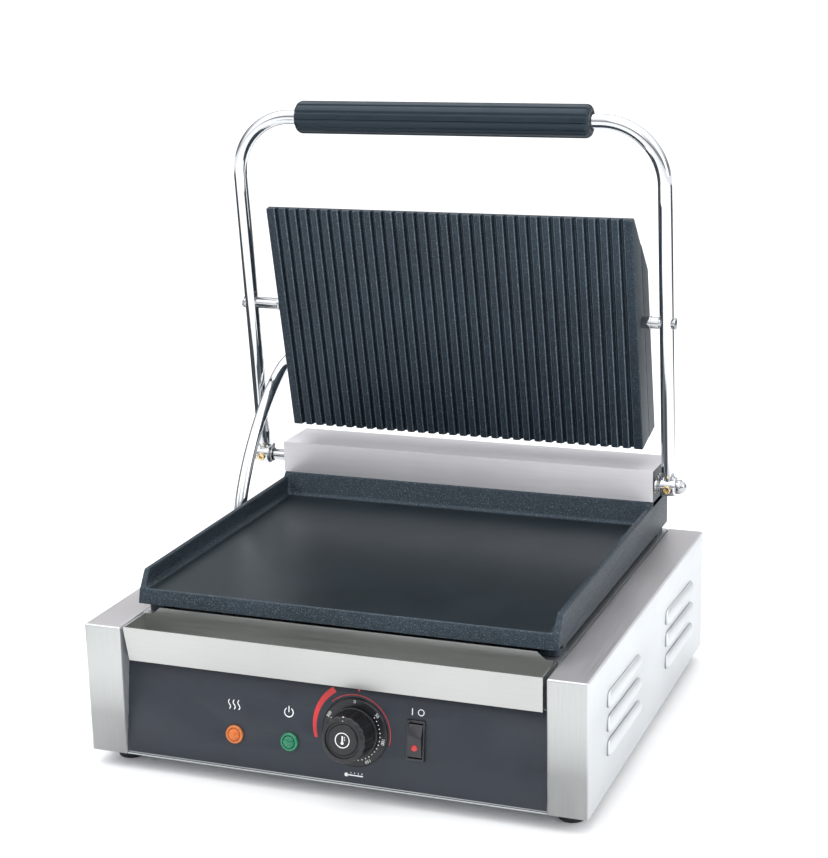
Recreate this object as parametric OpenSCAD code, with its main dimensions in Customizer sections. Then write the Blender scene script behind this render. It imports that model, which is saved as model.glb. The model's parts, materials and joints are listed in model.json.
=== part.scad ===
// Commercial panini press: a sheet-metal body with a cast lower griddle plate, and a ribbed
// upper plate that hangs from a U-shaped chrome handle turning on a shaft behind the plate.
// The handle frame stands a few millimetres left of the plates, as free play on its shaft allows.

/* [Body] */
// Width across both side covers
body_w = 410; // [390:1:450]
// Depth from the side covers' front faces to the rear cover
body_d = 374; // [360:1:430]
// Height of the sheet-metal body without its feet
body_h = 106; // [100:1:130]
// Height of each rubber foot
foot_h = 13; // [8:1:20]
// Diameter of each rubber foot
foot_d = 24; // [18:1:30]
// Thickness of the body's sheet metal
sheet = 1.2; // [0.8:0.1:1.6]
// Width of each side cover's front face
cheek_w = 31.5; // [28:0.5:36]

/* [Louvres] */
// Length of each pressed louvre
louvre_l = 97; // [60:1:110]
// Height of each pressed louvre
louvre_h = 11; // [8:0.5:14]
// How far each louvre stands out of the side
louvre_out = 4.5; // [3:0.5:6]
// Distance between louvres in a column
louvre_pitch = 19.4; // [16:0.2:24]

/* [Control panel] */
// How far the panel's top edge stands behind its bottom edge
panel_setback = 11; // [6:1:16]
// Height of the panel above the body's bottom edge
panel_h = 77; // [70:1:84]
// Diameter of the numbered dial plate
dial_d = 54; // [48:1:60]
// Diameter of the temperature knob
knob_d = 38; // [32:1:42]
// Length of the temperature knob
knob_l = 23; // [16:1:28]
// Diameter of the thermostat's shaft
dial_shaft_d = 6; // [5:0.5:8]
// Diameter of each indicator lamp's bezel
lamp_d = 15; // [12:0.5:18]
// Width of the power switch's frame
switch_w = 14; // [13:0.5:18]
// Height of the power switch's frame
switch_h = 31; // [28:0.5:36]
// Sideways place of the heating lamp
heat_lamp_x = -80; // [-100:1:-70]
// Sideways place of the power lamp
power_lamp_x = -33.5; // [-40:0.5:-28]
// Sideways place of the thermostat
dial_x = 20.5; // [15:0.5:26]
// Sideways place of the power switch
switch_x = 70; // [66:1:90]

/* [Drip tray] */
// Width of the drip tray
tray_w = 342; // [320:1:343]
// Depth of the drip tray from front to back
tray_d = 35.5; // [30:0.5:36]

/* [Lower plate] */
// Width of the lower plate over its rims
plate_w = 345.5; // [335:0.5:346]
// Distance from the body's front to the plate's front lip
plate_front = 31; // [28:0.5:36]
// Thickness of the plate's side rims
rim_t = 5.5; // [4:0.5:6]
// Height of the rims above the cooking surface
rim_h = 13.5; // [10:0.5:18]
// Height of the cooking surface above the body's top
floor_up = 21.5; // [18:0.5:26]
// Thickness of the cooking surface
floor_t = 9; // [7:0.5:10]
// Clear gap between the plate's skirt and the body's top
skirt_gap = 6.5; // [4:0.5:8]

/* [Hinge] */
// Depth of the hinge cover from front to back
cover_d = 52; // [48:1:60]
// Height of the hinge cover
cover_h = 28; // [26:1:34]
// Diameter of the hinge shaft
shaft_d = 10; // [8:0.5:12]
// Running clearance between the shaft and its bushes
shaft_clear = 0.05; // [0.02:0.01:0.1]
// Sideways place of the handle frame
handle_shift = -6.5; // [-8:0.5:0]

/* [Handle] */
// Distance from each end of the hinge cover to the nearer leg's centre
leg_out_from_cover = 17.9; // [17:0.1:20]
// Diameter of the handle tube
tube_d = 12; // [12:0.5:14]
// Distance from the hinge shaft to the grip
handle_l = 315.6; // [300:1:340]
// Radius of the handle tube's bends
bend_r = 52; // [40:1:58]
// Length of the fluted grip
grip_l = 262; // [220:2:270]
// Diameter of the fluted grip
grip_d = 28; // [26:0.5:32]
// Forward lean of the open handle, in degrees
handle_lean = 5.6; // [3:0.1:8]

/* [Upper plate] */
// Width of the upper plate
upper_w = 327.6; // [310:0.2:328]
// Length of the upper plate
upper_l = 208; // [190:1:212]
// Number of ribs across the upper plate
rib_n = 33; // [25:1:40]
// Depth of the grooves between the ribs
groove_d = 3.6; // [2.8:0.1:6]
// Thickness of the upper plate with its skirt
upper_t = 24; // [22:1:26]
// Thickness of the upper plate and its cover together
upper_total_t = 42.5; // [40:0.5:50]
// Distance from the hinge shaft to the tilt pins
pin_r = 146.3; // [140:0.1:150]
// Depth of the tilt pins behind the rib tips
pin_depth = 16; // [14:0.5:18]
// Distance from the plate's front edge to the tilt pins
pin_from_edge = 96; // [85:1:105]
// Forward lean of the open plate, in degrees
plate_lean = 11.6; // [8:0.1:14]
// Diameter of the tilt pins between plate and leg
pin_d = 10; // [8:0.5:11]

/* [Hidden] */
$fn = 48;

half_w = body_w / 2;
inner_x = half_w - cheek_w;
body_z0 = foot_h;
body_z1 = foot_h + body_h;
fit = 0.3;

// Lower plate levels
floor_z = body_z1 + floor_up;
rim_z = floor_z + rim_h;
skirt_z = body_z1 + skirt_gap;
plate_rear = body_d - 3;
ledge_z = floor_z + 20;
lip_z = skirt_z + 3.5;
half_plate = plate_w / 2;

// Hinge cover and shaft
cover_y1 = plate_rear - 5;
cover_y0 = cover_y1 - cover_d;
cover_z1 = ledge_z + cover_h;
cover_x = inner_x;
ear_t = 8;
hinge_y = cover_y0 + 11;
hinge_z = ledge_z + 12.2;
bush_d = shaft_d + 4;
leg_x = cover_x + leg_out_from_cover;
eye_d = 17;
eye_l = tube_d + 2;
screw_d = 3;
cover_screw_d = 4;
cover_screw_l = 25;

// Upper plate pivot, and where it comes to rest on the lower plate
pin_y = hinge_y - pin_r * sin(handle_lean);
pin_z = hinge_z + pin_r * cos(handle_lean);
journal_d = 8;
half_upper = upper_w / 2;
front_edge_t = 6;
slope_l = 59;
seam_y = upper_t - pin_depth;
back_y = upper_total_t - pin_depth;
tip_y = -pin_depth;
tail_z = pin_from_edge - upper_l;
element_d = 8;

// Control panel frame
panel_lean = atan(panel_setback / panel_h);
film_t = 0.6;
panel_y0 = 1 + film_t;
shelf_z = body_z0 + panel_h;
pocket_y = tray_d + 2;
pan_y0 = sheet + 2.5;
control_s = 42;
lamp_s = 27.5;

// Mains inlet in the rear cover
inlet_x = 120;
inlet_z = body_z0 + 30;
inlet_d = 16;
cord_d = 8.5;

// Drip tray
tray_z0 = shelf_z + 0.6 + fit;
tray_top = body_z1 + 0.7;
tray_tab = 5.8;
tray_wall = 1;

// Springs
spring_r = 7.5;
spring_wire = 2.2;
spring_turns = 12.5;
spring_pitch = 3;

// Conduit: up from the body's top, back past the upper plate's side, and round into the cover's back
conduit_d = 11;
conduit_x = -inner_x - 10.5;
conduit_y = 238;
conduit_foot = [conduit_x, conduit_y, body_z1 + 13];
gland_x = -122;
gland_z = -60;
gland_l = 12.2;
conduit_gap = 0.05;
gland_out = [0, cos(plate_lean), sin(plate_lean)];
gland_face = [
  gland_x, pin_y + back_y * cos(plate_lean) - gland_z * sin(plate_lean),
  pin_z + back_y * sin(plate_lean) + gland_z * cos(plate_lean)
];
conduit_head = gland_face + (gland_l + conduit_gap) * gland_out;
conduit_side = [conduit_x + 2, pin_y + 34, pin_z - 62];
side_heading = [0, 0.97, 0.25];
stub = 2;
conduit_start = conduit_foot + [0, 0, stub];
conduit_end = conduit_head + stub * gland_out;
loop_reach = 40;
conduit_steps = 16;
conduit_route = concat(
  [conduit_foot],
  [for (i = [0:conduit_steps]) bezier(conduit_start, conduit_start + [0, 4, 40],
    conduit_side - 45 * side_heading, conduit_side, i / conduit_steps)],
  [for (i = [1:conduit_steps]) bezier(conduit_side, conduit_side + loop_reach * side_heading,
    conduit_end + loop_reach * gland_out, conduit_end, i / conduit_steps)],
  [conduit_head]
);

// Point at t on the cubic curve from a to d
function bezier(a, b, c, d, t) = pow(1 - t, 3) * a + 3 * pow(1 - t, 2) * t * b + 3 * (1 - t) * t * t * c + pow(t, 3) * d;

module home() translate([0, -body_d / 2, 0]) children();

// Extrudes an outline drawn in the Y-Z plane from x0 to x1
module along_x(x0, x1) translate([x0, 0, 0]) rotate([90, 0, 90]) linear_extrude(x1 - x0) children();

// Extrudes an outline drawn in the X-Z plane from y0 back to y1
module along_y(y0, y1) translate([0, y1, 0]) rotate([90, 0, 0]) linear_extrude(y1 - y0) children();

module box(x0, x1, y0, y1, z0, z1) translate([x0, y0, z0]) cube([x1 - x0, y1 - y0, z1 - z0]);

module rod_x(d, x0, x1) translate([x0, 0, 0]) rotate([0, 90, 0]) cylinder(d = d, h = x1 - x0);

module both_sides() {
  children();
  mirror([1, 0, 0]) children();
}

// Frame on the panel film's front face: x across, y up the slope, z outwards
module on_panel(x, s) {
  home() translate([x, panel_y0, body_z0]) rotate([90 - panel_lean, 0, 0])
    translate([0, s, film_t]) children();
}

// Frame of the open handle, z along its legs
module handle_frame() home() translate([handle_shift, hinge_y, hinge_z])
  rotate([handle_lean, 0, 0]) children();

// Frame of the open upper plate at its pins: y through the plate, z towards its front edge
module upper_frame() home() translate([0, pin_y, pin_z]) rotate([plate_lean, 0, 0]) children();

// ---------------------------------------------------------------- sheet-metal body

module louvre_cut() {
  translate([half_w - sheet - 1, 0, -1]) cube([sheet + 2, louvre_l - 4, louvre_h * 0.45]);
}

// A hood: open along its lower edge, falling away to the wall at the top
module louvre_hood() {
  difference() {
    along_y_hood(0, louvre_l, 0);
    along_y_hood(sheet, louvre_l - sheet, sheet);
  }
}

module along_y_hood(y0, y1, inset) {
  along_y(y0, y1) polygon([
    [half_w - 0.4, -1 - inset * 2], [half_w + louvre_out - inset, -1 - inset * 2],
    [half_w + louvre_out - inset, louvre_h * 0.35], [half_w + louvre_out * 0.6 - inset, louvre_h * 0.75],
    [half_w - 0.4, louvre_h - inset * 1.2]
  ]);
}

module louvre_places() {
  for (column = [52, 235], row = [0:2])
    translate([0, column, body_z0 + body_h * 0.28 + row * louvre_pitch]) children();
}

module side_cover() {
  home() difference() {
    union() {
      box(inner_x, half_w, 0, body_d, body_z0, body_z1);
      louvre_places() louvre_hood();
    }
    box(inner_x + sheet, half_w - sheet, sheet, body_d - sheet, body_z0 - 1, body_z1 - sheet);
    box(inner_x - 1, inner_x + sheet + 1, pocket_y + 2, body_d - sheet, body_z0 - 1, body_z1 - sheet);
    box(inner_x - 1, inner_x + sheet + 1, pan_y0, pocket_y + 3, body_z0 - 1, body_z0 + sheet);
    louvre_places() louvre_cut();
  }
}

module side_cover_left() color("gainsboro") difference() {
  mirror([1, 0, 0]) side_cover();
  conduit_hole();
}

module side_cover_right() color("gainsboro") side_cover();

module conduit_hole() home() translate([conduit_foot[0], conduit_foot[1], body_z1 - 5])
  cylinder(d = conduit_d + 2, h = 10);

module foot_places() {
  for (x = [-1, 1], y = [0, 1])
    translate([x * (half_w - 20), y == 0 ? 28 : body_d - 28, 0]) children();
}

module base_pan() {
  color("silver") home() difference() {
    union() {
      box(-half_w + sheet, half_w - sheet, pan_y0, body_d - sheet, body_z0, body_z0 + sheet);
      both_sides() box(half_w - 2 * sheet, half_w - sheet, pan_y0, body_d - sheet, body_z0, body_z0 + 14);
    }
    foot_places() cylinder(d = 5, h = 40);
    for (column = [-3:3], row = [0:1])
      box(column * 40 - 14, column * 40 + 14, 150 + row * 60, 156 + row * 60, body_z0 - 1, body_z0 + 3);
  }
}

module rear_cover() {
  color("silver") home() difference() {
    union() {
      box(-inner_x, inner_x, body_d - sheet, body_d, body_z0 + sheet, body_z1 - sheet);
      box(-inner_x, inner_x, body_d - 12, body_d, body_z0 + sheet, body_z0 + 2 * sheet);
    }
    for (column = [-5:5], row = [0:1])
      box(column * 22 - 3, column * 22 + 3, body_d - 3, body_d + 1, body_z0 + 52 + row * 22,
          body_z0 + 66 + row * 22);
    translate([inlet_x, body_d + 1, inlet_z]) rotate([90, 0, 0]) cylinder(d = inlet_d, h = 4);
  }
}

module panel_holes(extra) {
  translate([dial_x, control_s, 0]) cylinder(d = 11 + extra, h = 12, center = true);
  translate([heat_lamp_x, lamp_s, 0]) cylinder(d = lamp_d - 3 + extra, h = 12, center = true);
  translate([power_lamp_x, lamp_s, 0]) cylinder(d = lamp_d - 3 + extra, h = 12, center = true);
  translate([switch_x, control_s, 0]) cube([switch_w - 1.6 + extra, switch_h - 1.6 + extra, 12], center = true);
}

module front_panel() {
  color("gainsboro") difference() {
    home() {
      along_x(-inner_x, inner_x) polygon([
        [0.4, body_z0], [0.4, body_z0 + sheet], [panel_y0 + 0.2, body_z0 + sheet],
        [panel_y0 + panel_setback, shelf_z], [pocket_y, shelf_z], [pocket_y, body_z1],
        [pocket_y + sheet, body_z1], [pocket_y + sheet, shelf_z - sheet],
        [panel_y0 + panel_setback + sheet, shelf_z - sheet], [panel_y0 + sheet + 0.2, body_z0]
      ]);
    }
    on_panel(0, 0) panel_holes(0);
  }
}

module panel_film() {
  color("darkslategray") difference() {
    on_panel(0, 0) translate([-inner_x + 0.4, 2.2, -film_t])
      cube([2 * inner_x - 0.8, panel_h / cos(panel_lean) - 2.8, film_t]);
    on_panel(0, 0) panel_holes(0.2);
  }
}

module deck() {
  color("silver") home() difference() {
    box(-inner_x, inner_x, pocket_y + sheet, body_d - sheet, body_z1 - sheet, body_z1);
    box(-120, 120, 90, 290, body_z1 - 5, body_z1 + 5);
    bolt_places() cylinder(d = 6.4, h = 60);
  }
}

module foot(x, y) {
  color("dimgray") home() translate([x, y, 0]) difference() {
    union() {
      cylinder(d1 = foot_d - 3, d2 = foot_d, h = foot_h - 3);
      translate([0, 0, foot_h - 3]) cylinder(d = foot_d, h = 3);
    }
    translate([0, 0, -1]) cylinder(d = 11, h = 6);
    cylinder(d = 4, h = foot_h + 1);
  }
}

module foot_front_left() foot(-half_w + 20, 28);
module foot_front_right() foot(half_w - 20, 28);
module foot_rear_left() foot(-half_w + 20, body_d - 28);
module foot_rear_right() foot(half_w - 20, body_d - 28);

module foot_screws() {
  color("silver") home() foot_places() {
    translate([0, 0, 2]) cylinder(d = 8.5, h = 3);
    cylinder_at(4, 5, foot_h + sheet + 4);
    translate([0, 0, foot_h + sheet]) cylinder(d = 8, h = 3, $fn = 6);
  }
}

module cylinder_at(d, z0, z1) translate([0, 0, z0]) cylinder(d = d, h = z1 - z0);

// ---------------------------------------------------------------- drip tray

module tray_shape(inset) {
  x_top = tray_w / 2 - inset;
  x_bottom = tray_w / 2 - 1.6 - inset;
  z0 = tray_z0 + inset;
  z1 = tray_top + (inset > 0 ? 5 : 0);
  hull() {
    box(-x_bottom, x_bottom, 5 + inset, tray_d - inset, z0, z0 + 0.01);
    box(-x_top, x_top, 0.5 + inset - (inset > 0 ? 0.8 : 0), tray_d - inset, z1 - 0.01, z1);
  }
}

module drip_tray() {
  color("lightgray") home() {
    difference() {
      tray_shape(0);
      tray_shape(tray_wall);
    }
    along_y(tray_d - tray_wall, tray_d) polygon([
      [-tray_w / 2 + 8, tray_top], [-tray_w / 2 + 15, tray_top + tray_tab],
      [tray_w / 2 - 15, tray_top + tray_tab], [tray_w / 2 - 8, tray_top]
    ]);
  }
}

// ---------------------------------------------------------------- lower plate

bolt_y0 = plate_front + 24;
bolt_y1 = plate_rear - 20;

module bolt_places() {
  for (x = [-1, 1], y = [bolt_y0, bolt_y1]) translate([x * (half_plate - 14), y, body_z1 - 12]) children();
}

module lower_plate() {
  cove_y = cover_y0 - 4;
  color("darkslategray") home() difference() {
    union() {
      // cooking surface with its bevelled front lip
      along_x(-half_plate, half_plate) polygon([
        [plate_front, lip_z], [plate_front + 4, floor_z], [cove_y + 2, floor_z],
        [cove_y + 2, floor_z - floor_t], [plate_front + 8, floor_z - floor_t], [plate_front + 5, lip_z]
      ]);
      // side rims, sloped at their front ends and running down as skirts
      both_sides() along_x(half_plate - rim_t, half_plate) polygon([
        [plate_front, lip_z], [plate_front + 4, floor_z], [plate_front + 14, rim_z],
        [cover_y0 - 1, rim_z + 3], [cover_y0, ledge_z], [plate_rear, ledge_z], [plate_rear, skirt_z],
        [plate_front + 14, skirt_z], [plate_front + 12, lip_z]
      ]);
      // fillets along the rims and the steep cove at the back
      both_sides() along_y(plate_front + 12, cover_y0) polygon([
        [half_plate - rim_t + 0.5, floor_z - 0.5], [half_plate - rim_t - 3, floor_z - 0.5],
        [half_plate - rim_t - 3, floor_z], [half_plate - rim_t, floor_z + 3], [half_plate - rim_t + 0.5, floor_z + 3]
      ]);
      along_x(-half_plate, half_plate) polygon([
        [cove_y - 4, floor_z], [cove_y, floor_z + 3], [cove_y + 3, ledge_z - 2], [cove_y + 4, ledge_z - 2],
        [cove_y + 4, ledge_z], [plate_rear, ledge_z], [plate_rear, skirt_z], [plate_rear - 8, skirt_z],
        [plate_rear - 8, ledge_z - 8], [cove_y + 10, ledge_z - 8], [cove_y + 2, floor_z - floor_t]
      ]);
      // ears that carry the hinge shaft
      both_sides() box(cover_x - ear_t, cover_x - 0.1, cover_y0 + sheet + 0.2, cover_y1 - sheet - 0.2, ledge_z - 8,
                       cover_z1 - sheet - 0.2);
      // four feet on the body's top
      both_sides() box(half_plate - 20, half_plate - 3, plate_front + 12, plate_front + 35, body_z1, floor_z - 2);
      both_sides() box(half_plate - 20, half_plate - 3, plate_rear - 28, plate_rear - 4, body_z1, ledge_z - 2);
    }
    translate([0, hinge_y, hinge_z]) both_sides() rod_x(bush_d, cover_x - ear_t - 1, cover_x + 1);
    bolt_places() cylinder(d = 6, h = 24);
    cover_screw_axes() cylinder(d = screw_d, h = 12);
  }
}

module lower_plate_bolts() {
  color("silver") home() bolt_places() {
    translate([0, 0, 12 - sheet - 4]) cylinder(d = 11, h = 4, $fn = 6);
    cylinder_at(6, 12 - sheet, 24);
  }
}

// M-shaped heater under the cooking surface
module element_run(reach, span) {
  pitch = span / 3;
  r = pitch / 2;
  for (i = [0:3]) translate([-span / 2 + i * pitch, 0, 0]) rotate([-90, 0, 0]) cylinder(d = element_d, h = reach);
  for (i = [0:2]) translate([-span / 2 + (i + 0.5) * pitch, i % 2 == 0 ? 0 : reach, 0])
    rotate([0, 0, i % 2 == 0 ? 180 : 0]) rotate_extrude(angle = 180) translate([r, 0]) circle(d = element_d);
}

module lower_element() {
  color("dimgray") home() {
    translate([0, 110, floor_z - floor_t - element_d / 2 - 0.2]) element_run(150, 240);
  }
}

module clamp_bar(y) {
  bar_z = floor_z - floor_t - element_d - 0.4;
  box(-135, 135, y - 8, y + 8, bar_z - 2, bar_z);
  for (x = [-60, 20, 60]) translate([x, y, 0]) cylinder_at(7, bar_z, floor_z - floor_t);
}

module lower_clamps() color("silver") home() for (y = [150, 220]) clamp_bar(y);

// ---------------------------------------------------------------- hinge

// Two screws on each side run through the cover's back into the casting's ears
module cover_screw_axes() {
  both_sides() for (z = [ledge_z + 7, ledge_z + 20])
    translate([cover_x - ear_t / 2, cover_y1 - 11, z]) rotate([-90, 0, 0]) children();
}

module hinge_cover() {
  color("gainsboro") home() difference() {
    box(-cover_x, cover_x, cover_y0, cover_y1, ledge_z, cover_z1);
    box(-cover_x - 1, cover_x + 1, cover_y0 + sheet, cover_y1 - sheet, ledge_z - 1, cover_z1 - sheet);
    cover_screw_axes() cylinder(d = screw_d + 0.4, h = 14);
  }
}

module hinge_cover_screws() {
  color("silver") home() cover_screw_axes() {
    cylinder_at(screw_d, 1, 11);
    translate([0, 0, 11]) cylinder(d1 = 7, d2 = 5, h = 2);
  }
}

module bush(side) {
  color("goldenrod") home() translate([0, hinge_y, hinge_z]) scale([side, 1, 1]) difference() {
    union() {
      rod_x(bush_d, cover_x - ear_t, cover_x);
      rod_x(bush_d + 2.4, cover_x - ear_t - 1.5, cover_x - ear_t);
    }
    rod_x(shaft_d + 2 * shaft_clear, cover_x - ear_t - 3, cover_x + 3);
  }
}

module bush_left() mirror([1, 0, 0]) bush(1);
module bush_right() bush(1);

module hinge_shaft() {
  color("silver") home() translate([handle_shift, hinge_y, hinge_z])
    rod_x(shaft_d, -leg_x - eye_l / 2 - 3, leg_x + eye_l / 2 + 3);
}

module shaft_nuts() {
  color("silver") home() translate([handle_shift, hinge_y, hinge_z]) both_sides()
    translate([leg_x + eye_l / 2, 0, 0]) difference() {
      union() {
        rod_x(12.5, 0, 4);
        intersection() {
          translate([3.2, 0, 0]) sphere(d = 11);
          rod_x(12.5, 3.2, 10);
        }
      }
      rod_x(shaft_d, -1, 3.2);
    }
}

// Wire clip around the shaft, with two small balled ends standing up
module shaft_clip(x) {
  translate([x, 0, 0]) rotate([0, 90, 0]) rotate_extrude() translate([shaft_d / 2 + 0.8, 0]) circle(d = 1.6, $fn = 24);
  for (y = [-2.6, 2.6]) translate([x, y, 0]) {
    cylinder_at(1.6, shaft_d / 2 + 0.6, shaft_d / 2 + 4);
    translate([0, 0, shaft_d / 2 + 4]) sphere(d = 2.8, $fn = 24);
  }
}

module shaft_clips() color("silver") handle_frame() {
  shaft_clip(-leg_x + eye_l / 2 + 1.5);
  shaft_clip(leg_x - eye_l / 2 - 1.5);
}

module set_screws() {
  color("goldenrod") handle_frame() both_sides() translate([leg_x, -eye_d / 2 + 1.5, 0]) rotate([90, 0, 0])
    difference() {
      cylinder(d = 7, h = 3.5);
      translate([0, 0, 1.5]) cylinder(d = 3.6, h = 3, $fn = 6);
    }
}

// One coil of the balance spring: its start reaches into the collar, its end stands on the casting
function coil_point(t) = [t * spring_pitch / 360, spring_r * cos(t), spring_r * sin(t)];

spring_end = 360 * spring_turns;

function coil_path() = concat(
  [[-5, spring_r, 0], [-1.6, spring_r, 0]],
  [for (t = [0:22.5:spring_end]) coil_point(t)],
  [coil_point(spring_end) - [0, 0, 4], coil_point(spring_end) - [0, 0, 10.9]]
);

function unit(v) = v / norm(v);

// A round tube swept along a list of points
module sweep_tube(path, d, sides) {
  n = len(path);
  tangents = [for (i = [0:n - 1]) unit(path[min(i + 1, n - 1)] - path[max(i - 1, 0)])];
  rings = [for (i = [0:n - 1])
    let (t = tangents[i], a = unit(cross(t, abs(t[0]) > 0.9 ? [0, 0, 1] : [1, 0, 0])), b = cross(t, a))
      for (k = [0:sides - 1]) path[i] + d / 2 * (cos(360 * k / sides) * a + sin(360 * k / sides) * b)];
  walls = [for (i = [0:n - 2], k = [0:sides - 1])
    [i * sides + k, i * sides + (k + 1) % sides, (i + 1) * sides + (k + 1) % sides, (i + 1) * sides + k]];
  caps = [[for (k = [sides - 1:-1:0]) k], [for (k = [0:sides - 1]) (n - 1) * sides + k]];
  polyhedron(points = rings, faces = concat(walls, caps), convexity = 10);
}

spring_x = 60;

module balance_spring() home() translate([spring_x, hinge_y, hinge_z]) sweep_tube(coil_path(), spring_wire, 6);

module spring_left() color("silver") mirror([1, 0, 0]) balance_spring();
module spring_right() color("silver") balance_spring();

module spring_collars() {
  color("silver") home() translate([0, hinge_y, hinge_z]) both_sides() difference() {
    rod_x(18.6, spring_x - 9, spring_x - 2);
    rod_x(shaft_d, spring_x - 10, spring_x + 1);
    translate([0, spring_r, 0]) rod_x(spring_wire + 0.6, spring_x - 10, spring_x + 1);
  }
}

// ---------------------------------------------------------------- handle

module handle_tube() {
  straight = leg_x - bend_r;
  color("silver") handle_frame() difference() {
    union() {
      both_sides() {
        translate([leg_x, 0, 0]) cylinder(d = tube_d, h = handle_l - bend_r);
        rod_x(eye_d, leg_x - eye_l / 2, leg_x + eye_l / 2);
        translate([straight, 0, handle_l - bend_r]) rotate([90, 0, 0]) rotate_extrude(angle = 90)
          translate([bend_r, 0]) circle(d = tube_d);
      }
      translate([0, 0, handle_l]) rod_x(tube_d, -straight, straight);
    }
    rod_x(shaft_d, -leg_x - 20, leg_x + 20);
    translate([0, 0, pin_r]) rod_x(journal_d + 2 * shaft_clear, -leg_x - 20, leg_x + 20);
  }
}

module grip() {
  flutes = 12;
  color("darkslategray") handle_frame() translate([0, 0, handle_l]) difference() {
    union() {
      rod_x(grip_d, -grip_l / 2 + 3, grip_l / 2 - 3);
      rod_x(grip_d - 5, -grip_l / 2, grip_l / 2);
    }
    rod_x(tube_d, -grip_l, grip_l);
    for (i = [0:flutes - 1]) rotate([i * 360 / flutes, 0, 0]) translate([0, 0, grip_d / 2 + 0.2])
      rod_x(2.4, -grip_l, grip_l);
  }
}

// ---------------------------------------------------------------- upper plate

// Side outline of the whole upper plate, y through it and z towards its front edge
function slope_y(z) = -pin_depth + front_edge_t + (pin_from_edge - z) * (upper_total_t - front_edge_t) / slope_l;
function slope_z(y) = pin_from_edge - (y + pin_depth - front_edge_t) * slope_l / (upper_total_t - front_edge_t);

module rib_face() {
  pitch = upper_w / rib_n;
  tip = pitch * 0.26;
  root = pitch * 0.42;
  grooves = [for (i = [0:rib_n - 2]) let (x = -half_upper + (i + 0.5) * pitch) each [
    [x + tip, tip_y], [x + root, tip_y + groove_d],
    [x + pitch - root, tip_y + groove_d], [x + pitch - tip, tip_y]
  ]];
  polygon(concat([[-half_upper, seam_y], [-half_upper, tip_y]], grooves,
                 [[half_upper, tip_y], [half_upper, seam_y]]));
}

module upper_plate() {
  color("darkslategray") upper_frame() difference() {
    intersection() {
      translate([0, 0, tail_z]) linear_extrude(upper_l) rib_face();
      along_x(-half_upper - 1, half_upper + 1) polygon([
        [tip_y - 1, tail_z - 1], [tip_y - 1, pin_from_edge + 1], [tip_y, pin_from_edge],
        [tip_y + front_edge_t, pin_from_edge], [seam_y, slope_z(seam_y)], [seam_y, tail_z + 1],
        [tip_y, tail_z], [tip_y, tail_z - 1]
      ]);
    }
    difference() {
      box(-half_upper + 8, half_upper - 8, -2, seam_y + 1, tail_z + 8, slope_z(seam_y) - 6);
      both_sides() rod_x(20, half_upper - 22, half_upper);
      cover_screw_places() rotate([90, 0, 0]) cylinder(d = 12, h = 60);
    }
    cover_screw_places() rotate([90, 0, 0]) cylinder(d = cover_screw_d, h = cover_screw_l);
    both_sides() rod_x(journal_d, half_upper - 18, half_upper + 1);
  }
}

module cover_outline(inset) {
  polygon([
    [seam_y + 0.2 - (inset > 0 ? 2 : 0), tail_z + 1.2 + inset], [back_y - inset, tail_z + 2.2 + inset],
    [back_y - inset, slope_z(back_y) - inset * 0.6], [seam_y + 0.2, slope_z(seam_y + 0.2) - inset * 1.9],
    [seam_y + 0.2 - (inset > 0 ? 2 : 0), slope_z(seam_y + 0.2) - inset * 1.9]
  ]);
}

module upper_cover() {
  wall = 2.4;
  color("darkslategray") upper_frame() difference() {
    along_x(-half_upper, half_upper) cover_outline(0);
    along_x(-half_upper + wall, half_upper - wall) cover_outline(wall);
    on_gland() cylinder(d = conduit_d, h = 12, center = true);
    cover_screw_places() rotate([90, 0, 0]) cylinder(d = cover_screw_d + 0.2, h = 20, center = true);
  }
}

module cover_screw_places() {
  for (x = [-130, 130], z = [tail_z + 30, slope_z(back_y) - 18]) translate([x, back_y, z]) children();
}

// Frame of the upper gland, z straight out of the cover's back
module on_gland() translate([gland_x, back_y, gland_z]) rotate([-90, 0, 0]) children();

module upper_cover_screws() {
  color("silver") upper_frame() cover_screw_places() rotate([-90, 0, 0]) {
    difference() {
      cylinder(d1 = 9, d2 = 6, h = 2.4);
      translate([-0.6, -5, 1.4]) cube([1.2, 10, 2]);
    }
    cylinder_at(cover_screw_d, -cover_screw_l, 0);
  }
}

module upper_element() {
  color("dimgray") upper_frame() translate([0, 2.4, -61]) rotate([90, 0, 0])
    element_run(80, 220);
}

module upper_insulation() {
  color("khaki") upper_frame() difference() {
    box(-half_upper + 12, half_upper - 12, seam_y + 0.6, back_y - 3.2, tail_z + 12, slope_z(back_y) - 8);
    cover_screw_places() rotate([90, 0, 0]) cylinder(d = 9, h = 40, center = true);
    on_gland() cylinder(d = 18, h = 60, center = true);
  }
}

module tilt_pin(side) {
  inboard = half_upper - 14;
  face = half_upper;
  leg_in = leg_x + side * handle_shift - tube_d / 2;
  leg_out = leg_in + tube_d;
  rod_x(journal_d, inboard, face);
  rod_x(pin_d, face, leg_in - 0.3);
  rod_x(pin_d + 1.5, face + 5, face + 8);
  rod_x(journal_d, leg_in - 0.3, leg_out + 0.3);
  difference() {
    rod_x(10, leg_out + 0.3, leg_out + 1.9);
    translate([leg_out + 1.2, -0.7, -6]) cube([2, 1.4, 12]);
  }
}

module tilt_pin_left() color("silver") upper_frame() mirror([1, 0, 0]) tilt_pin(-1);
module tilt_pin_right() color("silver") upper_frame() tilt_pin(1);

// ---------------------------------------------------------------- conduit

module conduit() color("lightgray") home() sweep_tube(conduit_route, conduit_d, 12);

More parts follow.
